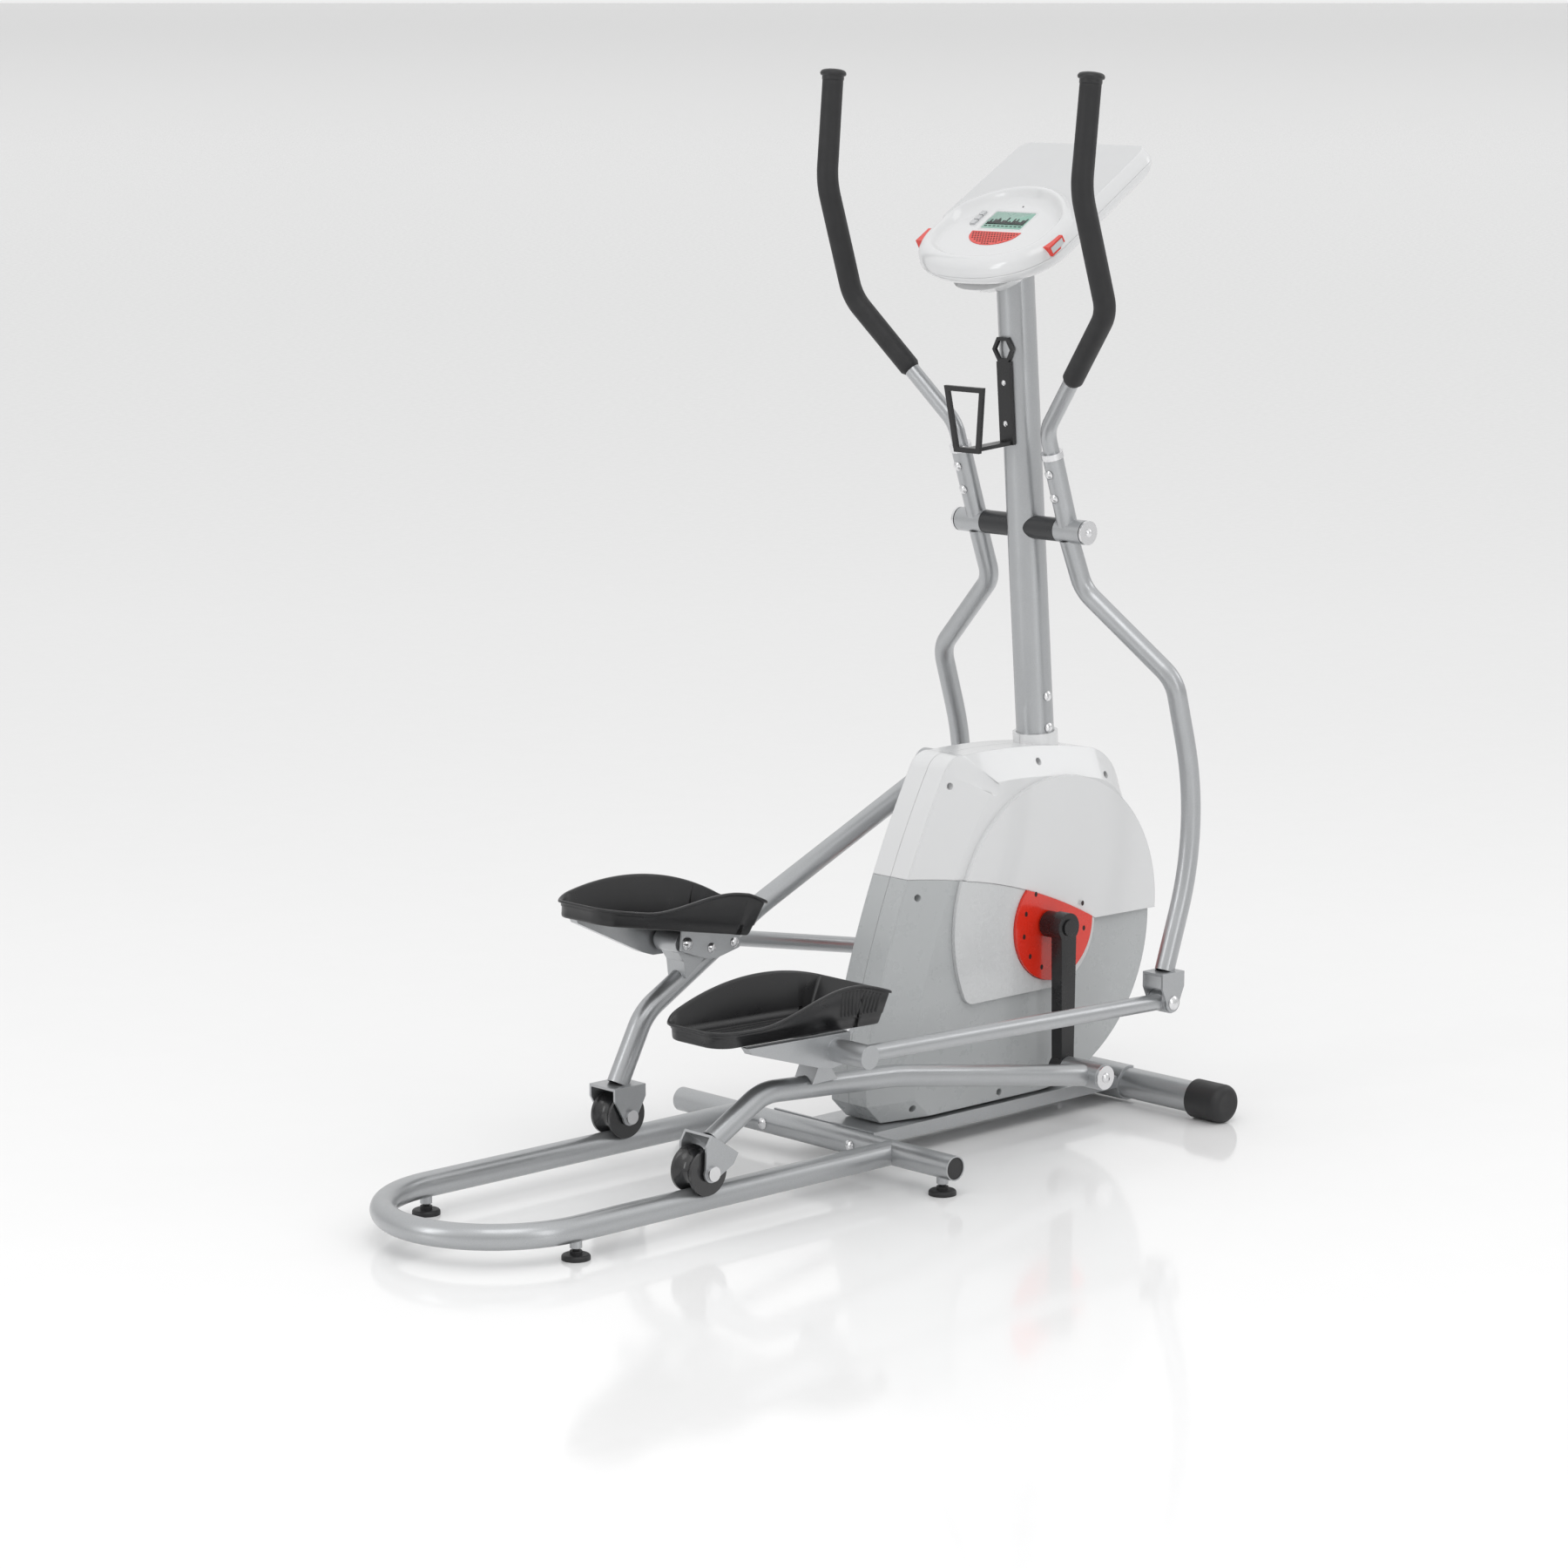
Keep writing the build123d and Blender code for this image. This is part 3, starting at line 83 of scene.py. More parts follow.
def link_state(side):
    """Foot pivot, link tilt and handlebar angle."""
    wheel_x, tilt = leg_state(side)
    ahead, above = turned(POST_AT, tilt)
    foot_x, foot_z = wheel_x + ahead, WHEEL_Z + above
    dx, dz = BAR_X - foot_x, BAR_Z - foot_z
    apart = hypot(dx, dz)
    along = (LINK_LENGTH**2 - BAR_LEVER**2 + apart**2) / (2 * apart)
    off = sqrt(LINK_LENGTH**2 - along**2)
    end_x = foot_x + (along * dx + off * dz) / apart
    end_z = foot_z + (along * dz - off * dx) / apart
    tilt = degrees(atan2(end_z - foot_z, end_x - foot_x))
    return (foot_x, foot_z), tilt, degrees(atan2(end_x - BAR_X, BAR_Z - end_z))


def side_point(origin, tilt, side, forward, up, out):
    """A world point in metres from a tilted side frame; out is the distance from the middle."""
    x, z = turned((forward, up), tilt)
    return Vector((origin[0] + x, side * out, origin[1] + z)) * MM


def link_point(side, forward, up, out):
    """A world point from the foot link's frame."""
    origin, tilt, _ = link_state(side)
    return side_point(origin, tilt, side, forward, up, out)


def bar_point(side, x, out, z):
    """A world point of the handlebar, given at the common angle of both bars."""
    angle = link_state(side)[2]
    return side_point((BAR_X, BAR_Z), angle - BAR_REST, side, x - BAR_X, z - BAR_Z, out)


CONSOLE_TILT = radians(32)
CONSOLE_AT = Vector((456, 0, 1411))
CONSOLE_U = Vector((cos(CONSOLE_TILT), 0, sin(CONSOLE_TILT)))
CONSOLE_N = Vector((-sin(CONSOLE_TILT), 0, cos(CONSOLE_TILT)))


def console_point(u, y, n):
    """A world point from the console's plane: u towards the back, n out of the face."""
    return (CONSOLE_AT + CONSOLE_U * u + Vector((0, y, 0)) + CONSOLE_N * n) * MM


# ---------------------------------------------------------------- materials


def node_link(tree, a, a_out, b, b_in):
    tree.links.new(a.outputs[a_out], b.inputs[b_in])


def surface(
    name,
    color,
    rough,
    metallic=0.0,
    rough_spread=0.08,
    tone_spread=0.05,
    grain=900.0,
    bump=0.08,
    bump_depth=0.0002,
    wave=0.0,
    wave_axis="X",
    coat=0.0,
    edge=0.0,
    specular=0.5,
    flakes=0.0,
):
    """A procedural finish: uneven tone, uneven gloss, fine grain, optional ribs, flakes and soft edges."""
    mat = bpy.data.materials.new(name)
    mat.use_nodes = True
    tree = mat.node_tree
    new = tree.nodes.new
    shader = tree.nodes["Principled BSDF"]
    shader.inputs["Metallic"].default_value = metallic
    shader.inputs["Coat Weight"].default_value = coat
    shader.inputs["Coat Roughness"].default_value = 0.06
    shader.inputs["Specular IOR Level"].default_value = specular
    coords = new("ShaderNodeTexCoord")

    cloud = new("ShaderNodeTexNoise")
    cloud.inputs["Scale"].default_value = 9.0
    cloud.inputs["Detail"].default_value = 6.0
    node_link(tree, coords, "Object", cloud, "Vector")
    tone = new("ShaderNodeMix")
    tone.data_type = "RGBA"
    tone.inputs[6].default_value = [c * (1 - tone_spread) for c in color] + [1]
    tone.inputs[7].default_value = [min(1, c * (1 + tone_spread)) for c in color] + [1]
    node_link(tree, cloud, "Fac", tone, 0)
    last_color, last_socket = tone, 2

    if flakes:
        flake = new("ShaderNodeTexVoronoi")
        flake.inputs["Scale"].default_value = 2600.0
        node_link(tree, coords, "Object", flake, "Vector")
        pick = new("ShaderNodeMapRange")
        pick.inputs[1].default_value = 0.0
        pick.inputs[2].default_value = 1.0
        pick.inputs[3].default_value = 1.0 - flakes
        pick.inputs[4].default_value = 1.0 + flakes
        parted = new("ShaderNodeSeparateColor")
        node_link(tree, flake, "Color", parted, "Color")
        node_link(tree, parted, "Red", pick, 0)
        sparkle = new("ShaderNodeMix")
        sparkle.data_type = "RGBA"
        sparkle.blend_type = "MULTIPLY"
        sparkle.inputs[0].default_value = 1.0
        tree.links.new(last_color.outputs[last_socket], sparkle.inputs[6])
        node_link(tree, pick, 0, sparkle, 7)
        last_color = sparkle
    tree.links.new(last_color.outputs[last_socket], shader.inputs["Base Color"])

    smear = new("ShaderNodeTexNoise")
    smear.inputs["Scale"].default_value = 34.0
    smear.inputs["Detail"].default_value = 8.0
    smear.inputs["Roughness"].default_value = 0.65
    node_link(tree, coords, "Object", smear, "Vector")
    gloss = new("ShaderNodeMapRange")
    gloss.inputs[1].default_value = 0.3
    gloss.inputs[2].default_value = 0.7
    gloss.inputs[3].default_value = max(0.02, rough - rough_spread)
    gloss.inputs[4].default_value = rough + rough_spread
    node_link(tree, smear, "Fac", gloss, 0)
    node_link(tree, gloss, 0, shader, "Roughness")

    fine = new("ShaderNodeTexNoise")
    fine.inputs["Scale"].default_value = grain
    fine.inputs["Detail"].default_value = 3.0
    node_link(tree, coords, "Object", fine, "Vector")
    bumped = new("ShaderNodeBump")
    bumped.inputs["Strength"].default_value = bump
    bumped.inputs["Distance"].default_value = bump_depth
    node_link(tree, fine, "Fac", bumped, "Height")
    if edge:
        soft = new("ShaderNodeBevel")
        soft.samples = 6
        soft.inputs["Radius"].default_value = edge
        node_link(tree, soft, "Normal", bumped, "Normal")
    if wave:
        ribs = new("ShaderNodeTexWave")
        ribs.bands_direction = wave_axis
        ribs.inputs["Scale"].default_value = wave
        node_link(tree, coords, "Object", ribs, "Vector")
        ribbed = new("ShaderNodeBump")
        ribbed.inputs["Strength"].default_value = 0.5
        ribbed.inputs["Distance"].default_value = 0.0006
        node_link(tree, ribs, "Fac", ribbed, "Height")
        node_link(tree, bumped, "Normal", ribbed, "Normal")
        node_link(tree, ribbed, "Normal", shader, "Normal")
    else:
        node_link(tree, bumped, "Normal", shader, "Normal")
    return mat


silver_paint = surface(
    "silver_paint", (0.43, 0.44, 0.45), 0.34, metallic=0.8, flakes=0.1, grain=500, bump=0.12,
    coat=0.35, edge=0.0008, rough_spread=0.05,
)
black_rubber = surface("black_rubber", (0.016, 0.016, 0.017), 0.5, grain=700, bump=0.3, edge=0.001)
black_plastic = surface(
    "black_plastic", (0.014, 0.014, 0.015), 0.33, grain=1400, bump=0.25, edge=0.0012
)
bright_steel = surface("bright_steel", (0.72, 0.72, 0.73), 0.2, metallic=1.0, bump=0.05, edge=0.0006)
black_metal = surface("black_metal", (0.012, 0.012, 0.013), 0.3, grain=400, bump=0.15, edge=0.0012)
wheel_plastic = surface(
    "wheel_plastic", (0.02, 0.02, 0.021), 0.22, grain=300, bump=0.05, coat=0.4, edge=0.001
)
white_gloss = surface(
    "white_gloss", (0.7, 0.705, 0.71), 0.2, grain=260, bump=0.03, coat=0.6, edge=0.0025,
    tone_spread=0.012, rough_spread=0.04,
)
light_grey = surface(
    "light_grey", (0.44, 0.455, 0.46), 0.3, grain=500, bump=0.04, coat=0.2, edge=0.0025, tone_spread=0.02
)
insert_grey = surface(
    "insert_grey", (0.6, 0.61, 0.615), 0.27, grain=400, bump=0.04, coat=0.3, edge=0.0015,
    tone_spread=0.015,
)
tray_grey = surface("tray_grey", (0.62, 0.625, 0.63), 0.38, grain=1500, bump=0.12, tone_spread=0.02)
red_plastic = surface(
    "red_plastic", (0.72, 0.028, 0.012), 0.25, grain=500, bump=0.04, coat=0.4, edge=0.001, tone_spread=0.04
)
silver_plastic = surface(
    "silver_plastic", (0.6, 0.61, 0.62), 0.28, metallic=0.6, grain=800, bump=0.05, edge=0.0012
)
foam = surface("foam", (0.012, 0.012, 0.013), 0.55, grain=2600, bump=0.35, bump_depth=0.0004)
cap_rubber = surface("cap_rubber", (0.014, 0.014, 0.015), 0.42, grain=900, bump=0.15, edge=0.0008)
cage_plastic = surface("cage_plastic", (0.014, 0.014, 0.015), 0.3, grain=900, bump=0.12, edge=0.0008)
spacer_plastic = surface("spacer_plastic", (0.025, 0.026, 0.028), 0.33, grain=600, bump=0.1, edge=0.001)
iron = surface("iron", (0.35, 0.35, 0.35), 0.35, metallic=1.0, wave=60, grain=300, bump=0.1)
belt_rubber = surface("belt_rubber", (0.015, 0.015, 0.015), 0.6, wave=180, wave_axis="Y")
lcd_green = surface("lcd_green", (0.25, 0.45, 0.37), 0.3, grain=2000, bump=0.03, coat=0.5, tone_spread=0.03)
lcd_ink = surface("lcd_ink", (0.008, 0.014, 0.012), 0.35, grain=2000, bump=0.03, coat=0.5)
# Painted shade: a flat near-black, faintly red colour laid on the crank covers and grille to stand in for
# the shaded insides of holes and slots
hole_shade_paint = surface("hole_shade_paint", (0.02, 0.004, 0.004), 0.6, grain=900, bump=0.1)

BY_SLOT = {
    "frame_paint": silver_paint,
    "black_rubber": black_rubber,
    "black_plastic": black_plastic,
    "bright_steel": bright_steel,
    "black_metal": black_metal,
    "wheel_plastic": wheel_plastic,
    "white_gloss": white_gloss,
    "light_grey": light_grey,
    "insert_grey": insert_grey,
    "red_plastic": red_plastic,
    "display_green": lcd_green,
    "silver_plastic": silver_plastic,
    "foam": foam,
    "drive_plastic": black_plastic,
    "iron": iron,
    "belt_rubber": belt_rubber,
}
BY_NODE = {
    "bottle_cage": cage_plastic,
    "pivot_spacers": spacer_plastic,
    "reading_tray": tray_grey,
    "crank_axle": black_metal,
}
for part in frame["record"]["subparts"]:
    node = part["node"]
    look = BY_NODE.get(node, BY_SLOT[part["material_slot"]])
    mesh = nodes[node].data
    mesh.materials.clear()
    mesh.materials.append(look)

# ---------------------------------------------------------------- mesh helpers


def mesh_piece(name, points, faces, look, smooth=True):
    """A named object from points in metres and faces."""
    mesh = bpy.data.meshes.new(name)
    mesh.from_pydata([tuple(p) for p in points], [], faces)
    mesh.validate()
    mesh.materials.append(look)
    build = bmesh.new()
    build.from_mesh(mesh)
    bmesh.ops.recalc_face_normals(build, faces=build.faces)
    build.to_mesh(mesh)
    build.free()
    if smooth:
        mesh.shade_smooth()
    piece = bpy.data.objects.new(name, mesh)
    bpy.context.scene.collection.objects.link(piece)
    return piece


def skin(name, rings, look, closed_ends=(True, True), smooth=True):
    """A surface over a list of rings with the same number of points."""
    count = len(rings[0])
    points = [p for ring in rings for p in ring]
    faces = []
    for row in range(len(rings) - 1):
        for i in range(count):
            j = (i + 1) % count
            faces.append(
                (row * count + i, row * count + j, (row + 1) * count + j, (row + 1) * count + i)
            )
    if closed_ends[0]:
        faces.append(tuple(range(count)))
    if closed_ends[1]:
        faces.append(tuple(range((len(rings) - 1) * count, len(rings) * count)))
    return mesh_piece(name, points, faces, look, smooth)


def rounded_route(points, radii, step=0.006):
    """Points along a polyline whose inner corners are rounded to the given radii, in metres."""
    route = [points[0]]
    for here, before, after, radius in zip(points[1:-1], points[:-2], points[2:], radii):
        to_before = (before - here).normalized()
        to_after = (after - here).normalized()
        half = to_before.angle(to_after) / 2
        back = radius / np.tan(half)
        first = here + to_before * back
        last = here + to_after * back
        centre = here + (to_before + to_after).normalized() * (radius / sin(half))
        turn = pi - 2 * half
        count = max(3, int(radius * turn / step))
        for k in range(count + 1):
            share = k / count
            spoke = (first - centre).normalized().slerp((last - centre).normalized(), share)
            route.append(centre + spoke * radius)
    route.append(points[-1])
    dense = [route[0]]
    for a, b in zip(route[:-1], route[1:]):
        count = max(1, int((b - a).length / step))
        for k in range(1, count + 1):
            dense.append(a.lerp(b, k / count))
    return dense


def ring_round(middle, across, upward, radius, count):
    """A ring of evenly spaced points round a middle, in the plane of two unit vectors."""
    ring = []
    for k in range(count):
        angle = 2 * pi * k / count
        ring.append(middle + across * (radius * cos(angle)) + upward * (radius * sin(angle)))
    return ring


def sweep_rings(route, radius_at, count):
    """Rings round a route; radius_at gives the radius from the distance along it."""
    rings = []
    across = None
    run = 0.0
    for i, here in enumerate(route):
        ahead = route[min(i + 1, len(route) - 1)] - route[max(i - 1, 0)]
        ahead.normalize()
        if across is None:
            across = ahead.orthogonal().normalized()
        across = (across - ahead * across.dot(ahead)).normalized()
        upward = ahead.cross(across)
        if i:
            run += (here - route[i - 1]).length
        rings.append(ring_round(here, across, upward, radius_at(run), count))
    return rings


def lathe(name, base, way, profile, look, count):
    """A turned piece: profile is (radius, height) pairs in metres along a direction from a base."""
    way = Vector(way).normalized()
    across = way.orthogonal().normalized()
    upward = way.cross(across)
    rings = []
    for radius, height in profile:
        rings.append(ring_round(Vector(base) + way * height, across, upward, radius, count))
    return skin(name, rings, look)


def smooth_step(x):
    """A smooth rise from 0 to 1 as x goes from 0 to 1."""
    x = np.clip(x, 0, 1)
    return x * x * (3 - 2 * x)


# ---------------------------------------------------------------- foam grips

GRIP_R = 16.5 * MM
GRIP_SWELL = 0.6 * MM
GRIP_LIP = 4.0 * MM
LIP_DROP = 3.5 * MM
GRIP_START = 0.42
GRIP_BENDS = (60 * MM, 120 * MM)
CAP_PROFILE = (
    (16.5, -6.0), (17.2, -5.5), (17.4, -1.0), (16.8, 0.0), (19.8, 1.5), (20.6, 3.5),
    (20.6, 5.2), (19.6, 7.6), (17.2, 9.5), (13.0, 10.8), (7.0, 11.6), (1.0, 11.9),
)
for name, side in SIDES.items():
    low = bar_point(side, 460.1, 98, 1105)
    elbow = bar_point(side, 404, 270, 1297)
    upper = bar_point(side, 346, 268.5, 1480)
    top = bar_point(side, 362, 270, 1643)
    route = rounded_route([low.lerp(elbow, GRIP_START), elbow, upper, top], GRIP_BENDS)
    length = sum((b - a).length for a, b in zip(route[:-1], route[1:]))

    def foam_radius(run):
        """Full foam with rounded lips at both ends and a slightly fuller palm."""
        lip = min(run, length - run)
        drop = 0.0
        if lip < GRIP_LIP:
            drop = LIP_DROP * (1 - sqrt(1 - (1 - lip / GRIP_LIP) ** 2))
        return GRIP_R - drop + GRIP_SWELL * sin(pi * run / length) ** 2

    grip = skin("foam_grip_" + name, sweep_rings(route, foam_radius, 40), foam)
    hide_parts("grip_" + name)
    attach(grip, "handlebar_" + name)
    way = (top - upper).normalized()
    cap_profile = [(radius * MM, height * MM) for radius, height in CAP_PROFILE]
    cap = lathe("grip_cap_" + name, top, way, cap_profile, cap_rubber, 48)
    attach(cap, "handlebar_" + name)

# ---------------------------------------------------------------- foot trays

TRAY_REAR = -231.0
TRAY_FRONT_IN = 102.0
TRAY_FRONT_OUT = 128.0
TRAY_IN = 70.0
TRAY_OUT = 208.0
TRAY_FLOOR = 24.0
TRAY_CORNER_STEPS = 12
TRAY_SIDE_STEPS = 26
WALL_LEAN = 24.0 / 70.0
LEAN_FROM = 60.0


def tray_outline(inset):
    """The tray's plan outline as (u, out) pairs: rounded at the rear, tighter at the front."""
    rear = TRAY_REAR + inset
    near = TRAY_IN + inset
    far = TRAY_OUT - inset
    front_in = TRAY_FRONT_IN - inset
    front_out = TRAY_FRONT_OUT - inset
    corners = [(rear, near, 42), (front_in, near, 14), (front_out, far, 12), (rear, far, 42)]
    corners = [Vector((u, v, max(3, r - inset))) for u, v, r in corners]
    out = []
    for i, corner in enumerate(corners):
        before = corners[i - 1]
        after = corners[(i + 1) % 4]
        here = Vector((corner.x, corner.y))
        to_before = (Vector((before.x, before.y)) - here).normalized()
        to_after = (Vector((after.x, after.y)) - here).normalized()
        half = to_before.angle(to_after) / 2
        back = corner.z / np.tan(half)
        first = here + to_before * back
        last = here + to_after * back
        centre = here + (to_before + to_after).normalized() * (corner.z / sin(half))
        from_centre = first - centre
        sweep = from_centre.angle_signed(last - centre)
        for k in range(TRAY_CORNER_STEPS + 1):
            out.append(centre + Matrix.Rotation(-sweep * k / TRAY_CORNER_STEPS, 2) @ from_centre)
        next_corner = corners[(i + 1) % 4]
        ahead = Vector((next_corner.x, next_corner.y))
        beyond = corners[(i + 2) % 4]
        to_here = (here - ahead).normalized()
        to_beyond = (Vector((beyond.x, beyond.y)) - ahead).normalized()
        next_back = next_corner.z / np.tan(to_here.angle(to_beyond) / 2)
        finish = ahead + to_here * next_back
        for k in range(1, TRAY_SIDE_STEPS):
            out.append(last.lerp(finish, k / TRAY_SIDE_STEPS))
    return out


WALL_RIB_OUT = 203.0
RIB_FACES = [(0, 1, 5, 4), (1, 2, 6, 5), (2, 3, 7, 6), (0, 1, 2, 3), (4, 5, 6, 7)]
RIM_HEEL = (-217.0, 50.0)
RIM_CREST = (-36.0, 97.0)
RIM_TOE = (128.0, 71.0)


def arch_height(u):
    """The height on the arc through the rim's heel, crest and toe."""
    (ax, ay), (bx, by), (cx, cy) = RIM_HEEL, RIM_CREST, RIM_TOE
    twice = 2 * (ax * (by - cy) + bx * (cy - ay) + cx * (ay - by))
    a2, b2, c2 = ax * ax + ay * ay, bx * bx + by * by, cx * cx + cy * cy
    middle_u = (a2 * (by - cy) + b2 * (cy - ay) + c2 * (ay - by)) / twice
    middle_up = (a2 * (cx - bx) + b2 * (ax - cx) + c2 * (bx - ax)) / twice
    reach = hypot(ax - middle_u, ay - middle_up)
    here = max(RIM_HEEL[0], min(RIM_TOE[0], u))
    return middle_up + sqrt(reach**2 - (here - middle_u) ** 2)


def rim_height(side, u, out):
    """The tray's rim: a high arch on the +Y wall, a low heel rising to the toe on the -Y wall."""
    arch = arch_height(u)
    rising = min(arch, RIM_HEEL[1] + 40.0 * float(smooth_step((u + 150.0) / 190.0)))
    across = (out - TRAY_IN) / (TRAY_OUT - TRAY_IN)
    share = float(smooth_step(across if side > 0 else 1 - across))
    return (rising + (arch - rising) * share) * 0.995


def tray_ring(side, inset, height, from_rim):
    """One ring of the tray: its height is measured from the rim or from the link's axis."""
    ring = []
    for u, out in tray_outline(inset):
        rim = rim_height(side, u, out)
        up = rim + height if from_rim else min(height, rim - 8)
        lean = 0.0
        if not from_rim:
            lean = WALL_LEAN * (rim - up)
        slide = -lean if u > LEAN_FROM else 0.0
        ring.append(link_point(side, u + slide, up, out))
    return ring


for name, side in SIDES.items():
    rings = [
        tray_ring(side, 34, TRAY_FLOOR, False),
        tray_ring(side, 11, TRAY_FLOOR, False),
        tray_ring(side, 9, TRAY_FLOOR + 1.2, False),
        tray_ring(side, 8, TRAY_FLOOR + 4, False),
        tray_ring(side, 7, TRAY_FLOOR + 16, False),
        tray_ring(side, 5.6, TRAY_FLOOR + 16.6, False),
        tray_ring(side, 5.2, -7, True),
        tray_ring(side, 4.6, -4.6, True),
        tray_ring(side, 1.2, -4.2, True),
        tray_ring(side, 0.2, -3.2, True),
        tray_ring(side, 0.2, -1.2, True),
        tray_ring(side, 1.4, -0.2, True),
        tray_ring(side, 4.0, 0.0, True),
        tray_ring(side, 6.4, -0.6, True),
        tray_ring(side, 8.0, -3.0, True),
        tray_ring(side, 12.0, TRAY_FLOOR + 14, False),
        tray_ring(side, 14.5, TRAY_FLOOR + 7, False),
        tray_ring(side, 20.0, TRAY_FLOOR + 4.4, False),
        tray_ring(side, 34.0, TRAY_FLOOR + 4.0, False),
    ]
    tray = skin("foot_tray_" + name, rings, black_plastic)
    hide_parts("pedal_" + name)
    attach(tray, "foot_" + name)

    for row in range(7):
        out_at = 100.0 + row * 13.0
        rib = []
        for u in (-196.0, 66.0):
            for across, up in ((-2.0, 3.6), (-1.2, 5.6), (1.2, 5.6), (2.0, 3.6)):
                rib.append(link_point(side, u, TRAY_FLOOR + up, out_at + across))
        floor_rib = mesh_piece(
            f"tray_rib_{name}_{row}",
            rib,
            RIB_FACES,
            black_plastic,
            smooth=False,
        )
        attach(floor_rib, "foot_" + name)
    for column in range(12):
        u = 22.0 + column * 7.4
        wall_top = rim_height(side, u, WALL_RIB_OUT)
        rib = []
        for up in (TRAY_FLOOR + 20.0, wall_top - 9.0):
            lean = WALL_LEAN * (wall_top - up) if u > LEAN_FROM else 0.0
            for du, out in ((-2.2, 202.4), (-0.8, 203.7), (0.8, 203.7), (2.2, 202.4)):
                rib.append(link_point(side, u + du - lean, up, out))
        wall_rib = mesh_piece(
            f"tray_wall_rib_{name}_{column}",
            rib,
            RIB_FACES,
            black_plastic,
            smooth=False,
        )
        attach(wall_rib, "foot_" + name)

# ---------------------------------------------------------------- holes in the crank covers, painted as dark shade ovals on the face

COVER_X = 515.0
COVER_Z = 317.0
COVER_FACE = 74.0
HOLE_RING = 70.0
HOLE_AT = (128.0, 158.0, 188.0, 218.0, 246.0, 22.0, -12.0)
HOLE_HALF_WIDTH = 3.2
HOLE_HALF_HEIGHT = 4.2
HOLE_STEPS = 20
for name, side in SIDES.items():
    holes = []
    faces = []
    for angle in HOLE_AT:
        x = COVER_X + HOLE_RING * cos(radians(angle))
        z = COVER_Z + HOLE_RING * sin(radians(angle))
        first = len(holes)
        for k in range(HOLE_STEPS):
            a = 2 * pi * k / HOLE_STEPS
            hole_x = x + HOLE_HALF_WIDTH * cos(a)
            hole_z = z + HOLE_HALF_HEIGHT * sin(a)
            holes.append(Vector((hole_x, side * (COVER_FACE + 0.1), hole_z)) * MM)
        faces.append(tuple(range(first, first + HOLE_STEPS)))
    # Flat dark ovals just above the cover face: painted shade in place of real holes
    cover_hole_shade = mesh_piece("cover_hole_shade_" + name, holes, faces, hole_shade_paint, smooth=False)
    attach(cover_hole_shade, "frame")

# ---------------------------------------------------------------- console

BACK = 234.0
HALF = 144.0
FRONT = -112.0
STRAIGHT = -10.0
SEAM = -14.0
NOSE_STEPS = 90
NOSE_POWER = 0.86
CORNER_STEPS = 12
BACK_TAPER = 6.0
CORNER_R = 26.0
OUTLINE_POINTS = 240


def console_outline():
    """The console's outline as evenly spaced (u, y) points: round front, squarer back."""
    raw = []
    for k in range(NOSE_STEPS + 1):
        a = pi / 2 + pi * k / NOSE_STEPS
        ahead = np.sign(cos(a)) * abs(cos(a)) ** NOSE_POWER
        across = np.sign(sin(a)) * abs(sin(a)) ** NOSE_POWER
        raw.append((STRAIGHT + (STRAIGHT - FRONT) * ahead, HALF * across))
    corner_y = HALF - BACK_TAPER - CORNER_R
    for k in range(CORNER_STEPS + 1):
        a = -pi / 2 + pi / 2 * k / CORNER_STEPS
        raw.append((BACK - CORNER_R + CORNER_R * cos(a), -corner_y + CORNER_R * sin(a)))
    for k in range(CORNER_STEPS + 1):
        a = pi / 2 * k / CORNER_STEPS
        raw.append((BACK - CORNER_R + CORNER_R * cos(a), corner_y + CORNER_R * sin(a)))
    raw = np.array(raw + [raw[0]])
    runs = np.concatenate([[0], np.cumsum(np.hypot(*np.diff(raw, axis=0).T))])
    at = np.linspace(0, runs[-1], OUTLINE_POINTS, endpoint=False)
    return np.stack([np.interp(at, runs, raw[:, 0]), np.interp(at, runs, raw[:, 1])], axis=1)


OUTLINE = console_outline()
CENTRE = np.array([60.0, 0.0])


def edge_distance(points):
    """How far each (u, y) point is from the outline."""
    a = OUTLINE
    b = np.roll(OUTLINE, -1, axis=0)
    ab = b - a
    best = np.full(len(points), 1e9)
    for start, step in zip(a, ab):
        t = np.clip(((points - start) @ step) / (step @ step), 0, 1)
        near = start + t[:, None] * step
        best = np.minimum(best, np.hypot(*(points - near).T))
    return best


def arch_line(y):
    """Where the hood's crest runs behind the display."""
    return 92.0 - 62.0 * (np.abs(y) / 120.0) ** 2.2


def face_height(points, edge):
    """The console's top face: rounded rim, sunken control bowl, hood arch and raised back."""
    u, y = points.T
    rounded = SEAM + 24.0 * np.sqrt(1 - (1 - np.clip(edge / 24.0, 0, 1)) ** 2)
    bowl = smooth_step((edge - 24.0) / 14.0)
    past = u - arch_line(y)
    bowl *= smooth_step(-past / 34.0)
    crest = 7.0 * np.exp(-((past + 1) / 9.0) ** 2) * smooth_step((edge - 10) / 30.0)
    level = rounded - bowl * (rounded - 0.3) + crest
    back = smooth_step((past - 3) / 9.0) * smooth_step((edge - 3) / 5.0)
    return level - back * (level - 7.0), past


fractions = np.concatenate([[1.0], 1 - np.linspace(0.002, 0.32, 46), np.linspace(0.67, 0.0, 70)])
grid = []
for share in fractions[:-1]:
    grid.append(CENTRE + (OUTLINE - CENTRE) * share)
flat = np.concatenate(grid)
edges = edge_distance(flat)
edges[: len(OUTLINE)] = 0.0
heights, past_arch = face_height(flat, edges)
per_ring = len(OUTLINE)


def console_faces(keep):
    """Quads of the polar grid whose four corners are wanted, with points renumbered."""
    faces = []
    for row in range(len(fractions) - 2):
        for i in range(per_ring):
            j = (i + 1) % per_ring
            here = row * per_ring
            inner = here + per_ring
            quad = (here + i, here + j, inner + j, inner + i)
            if keep(quad):
                faces.append(quad)
    used = sorted({k for quad in faces for k in quad})
    place = {k: n for n, k in enumerate(used)}
    points = [console_point(flat[k, 0], flat[k, 1], heights[k]) for k in used]
    return points, [tuple(place[k] for k in quad) for quad in faces]


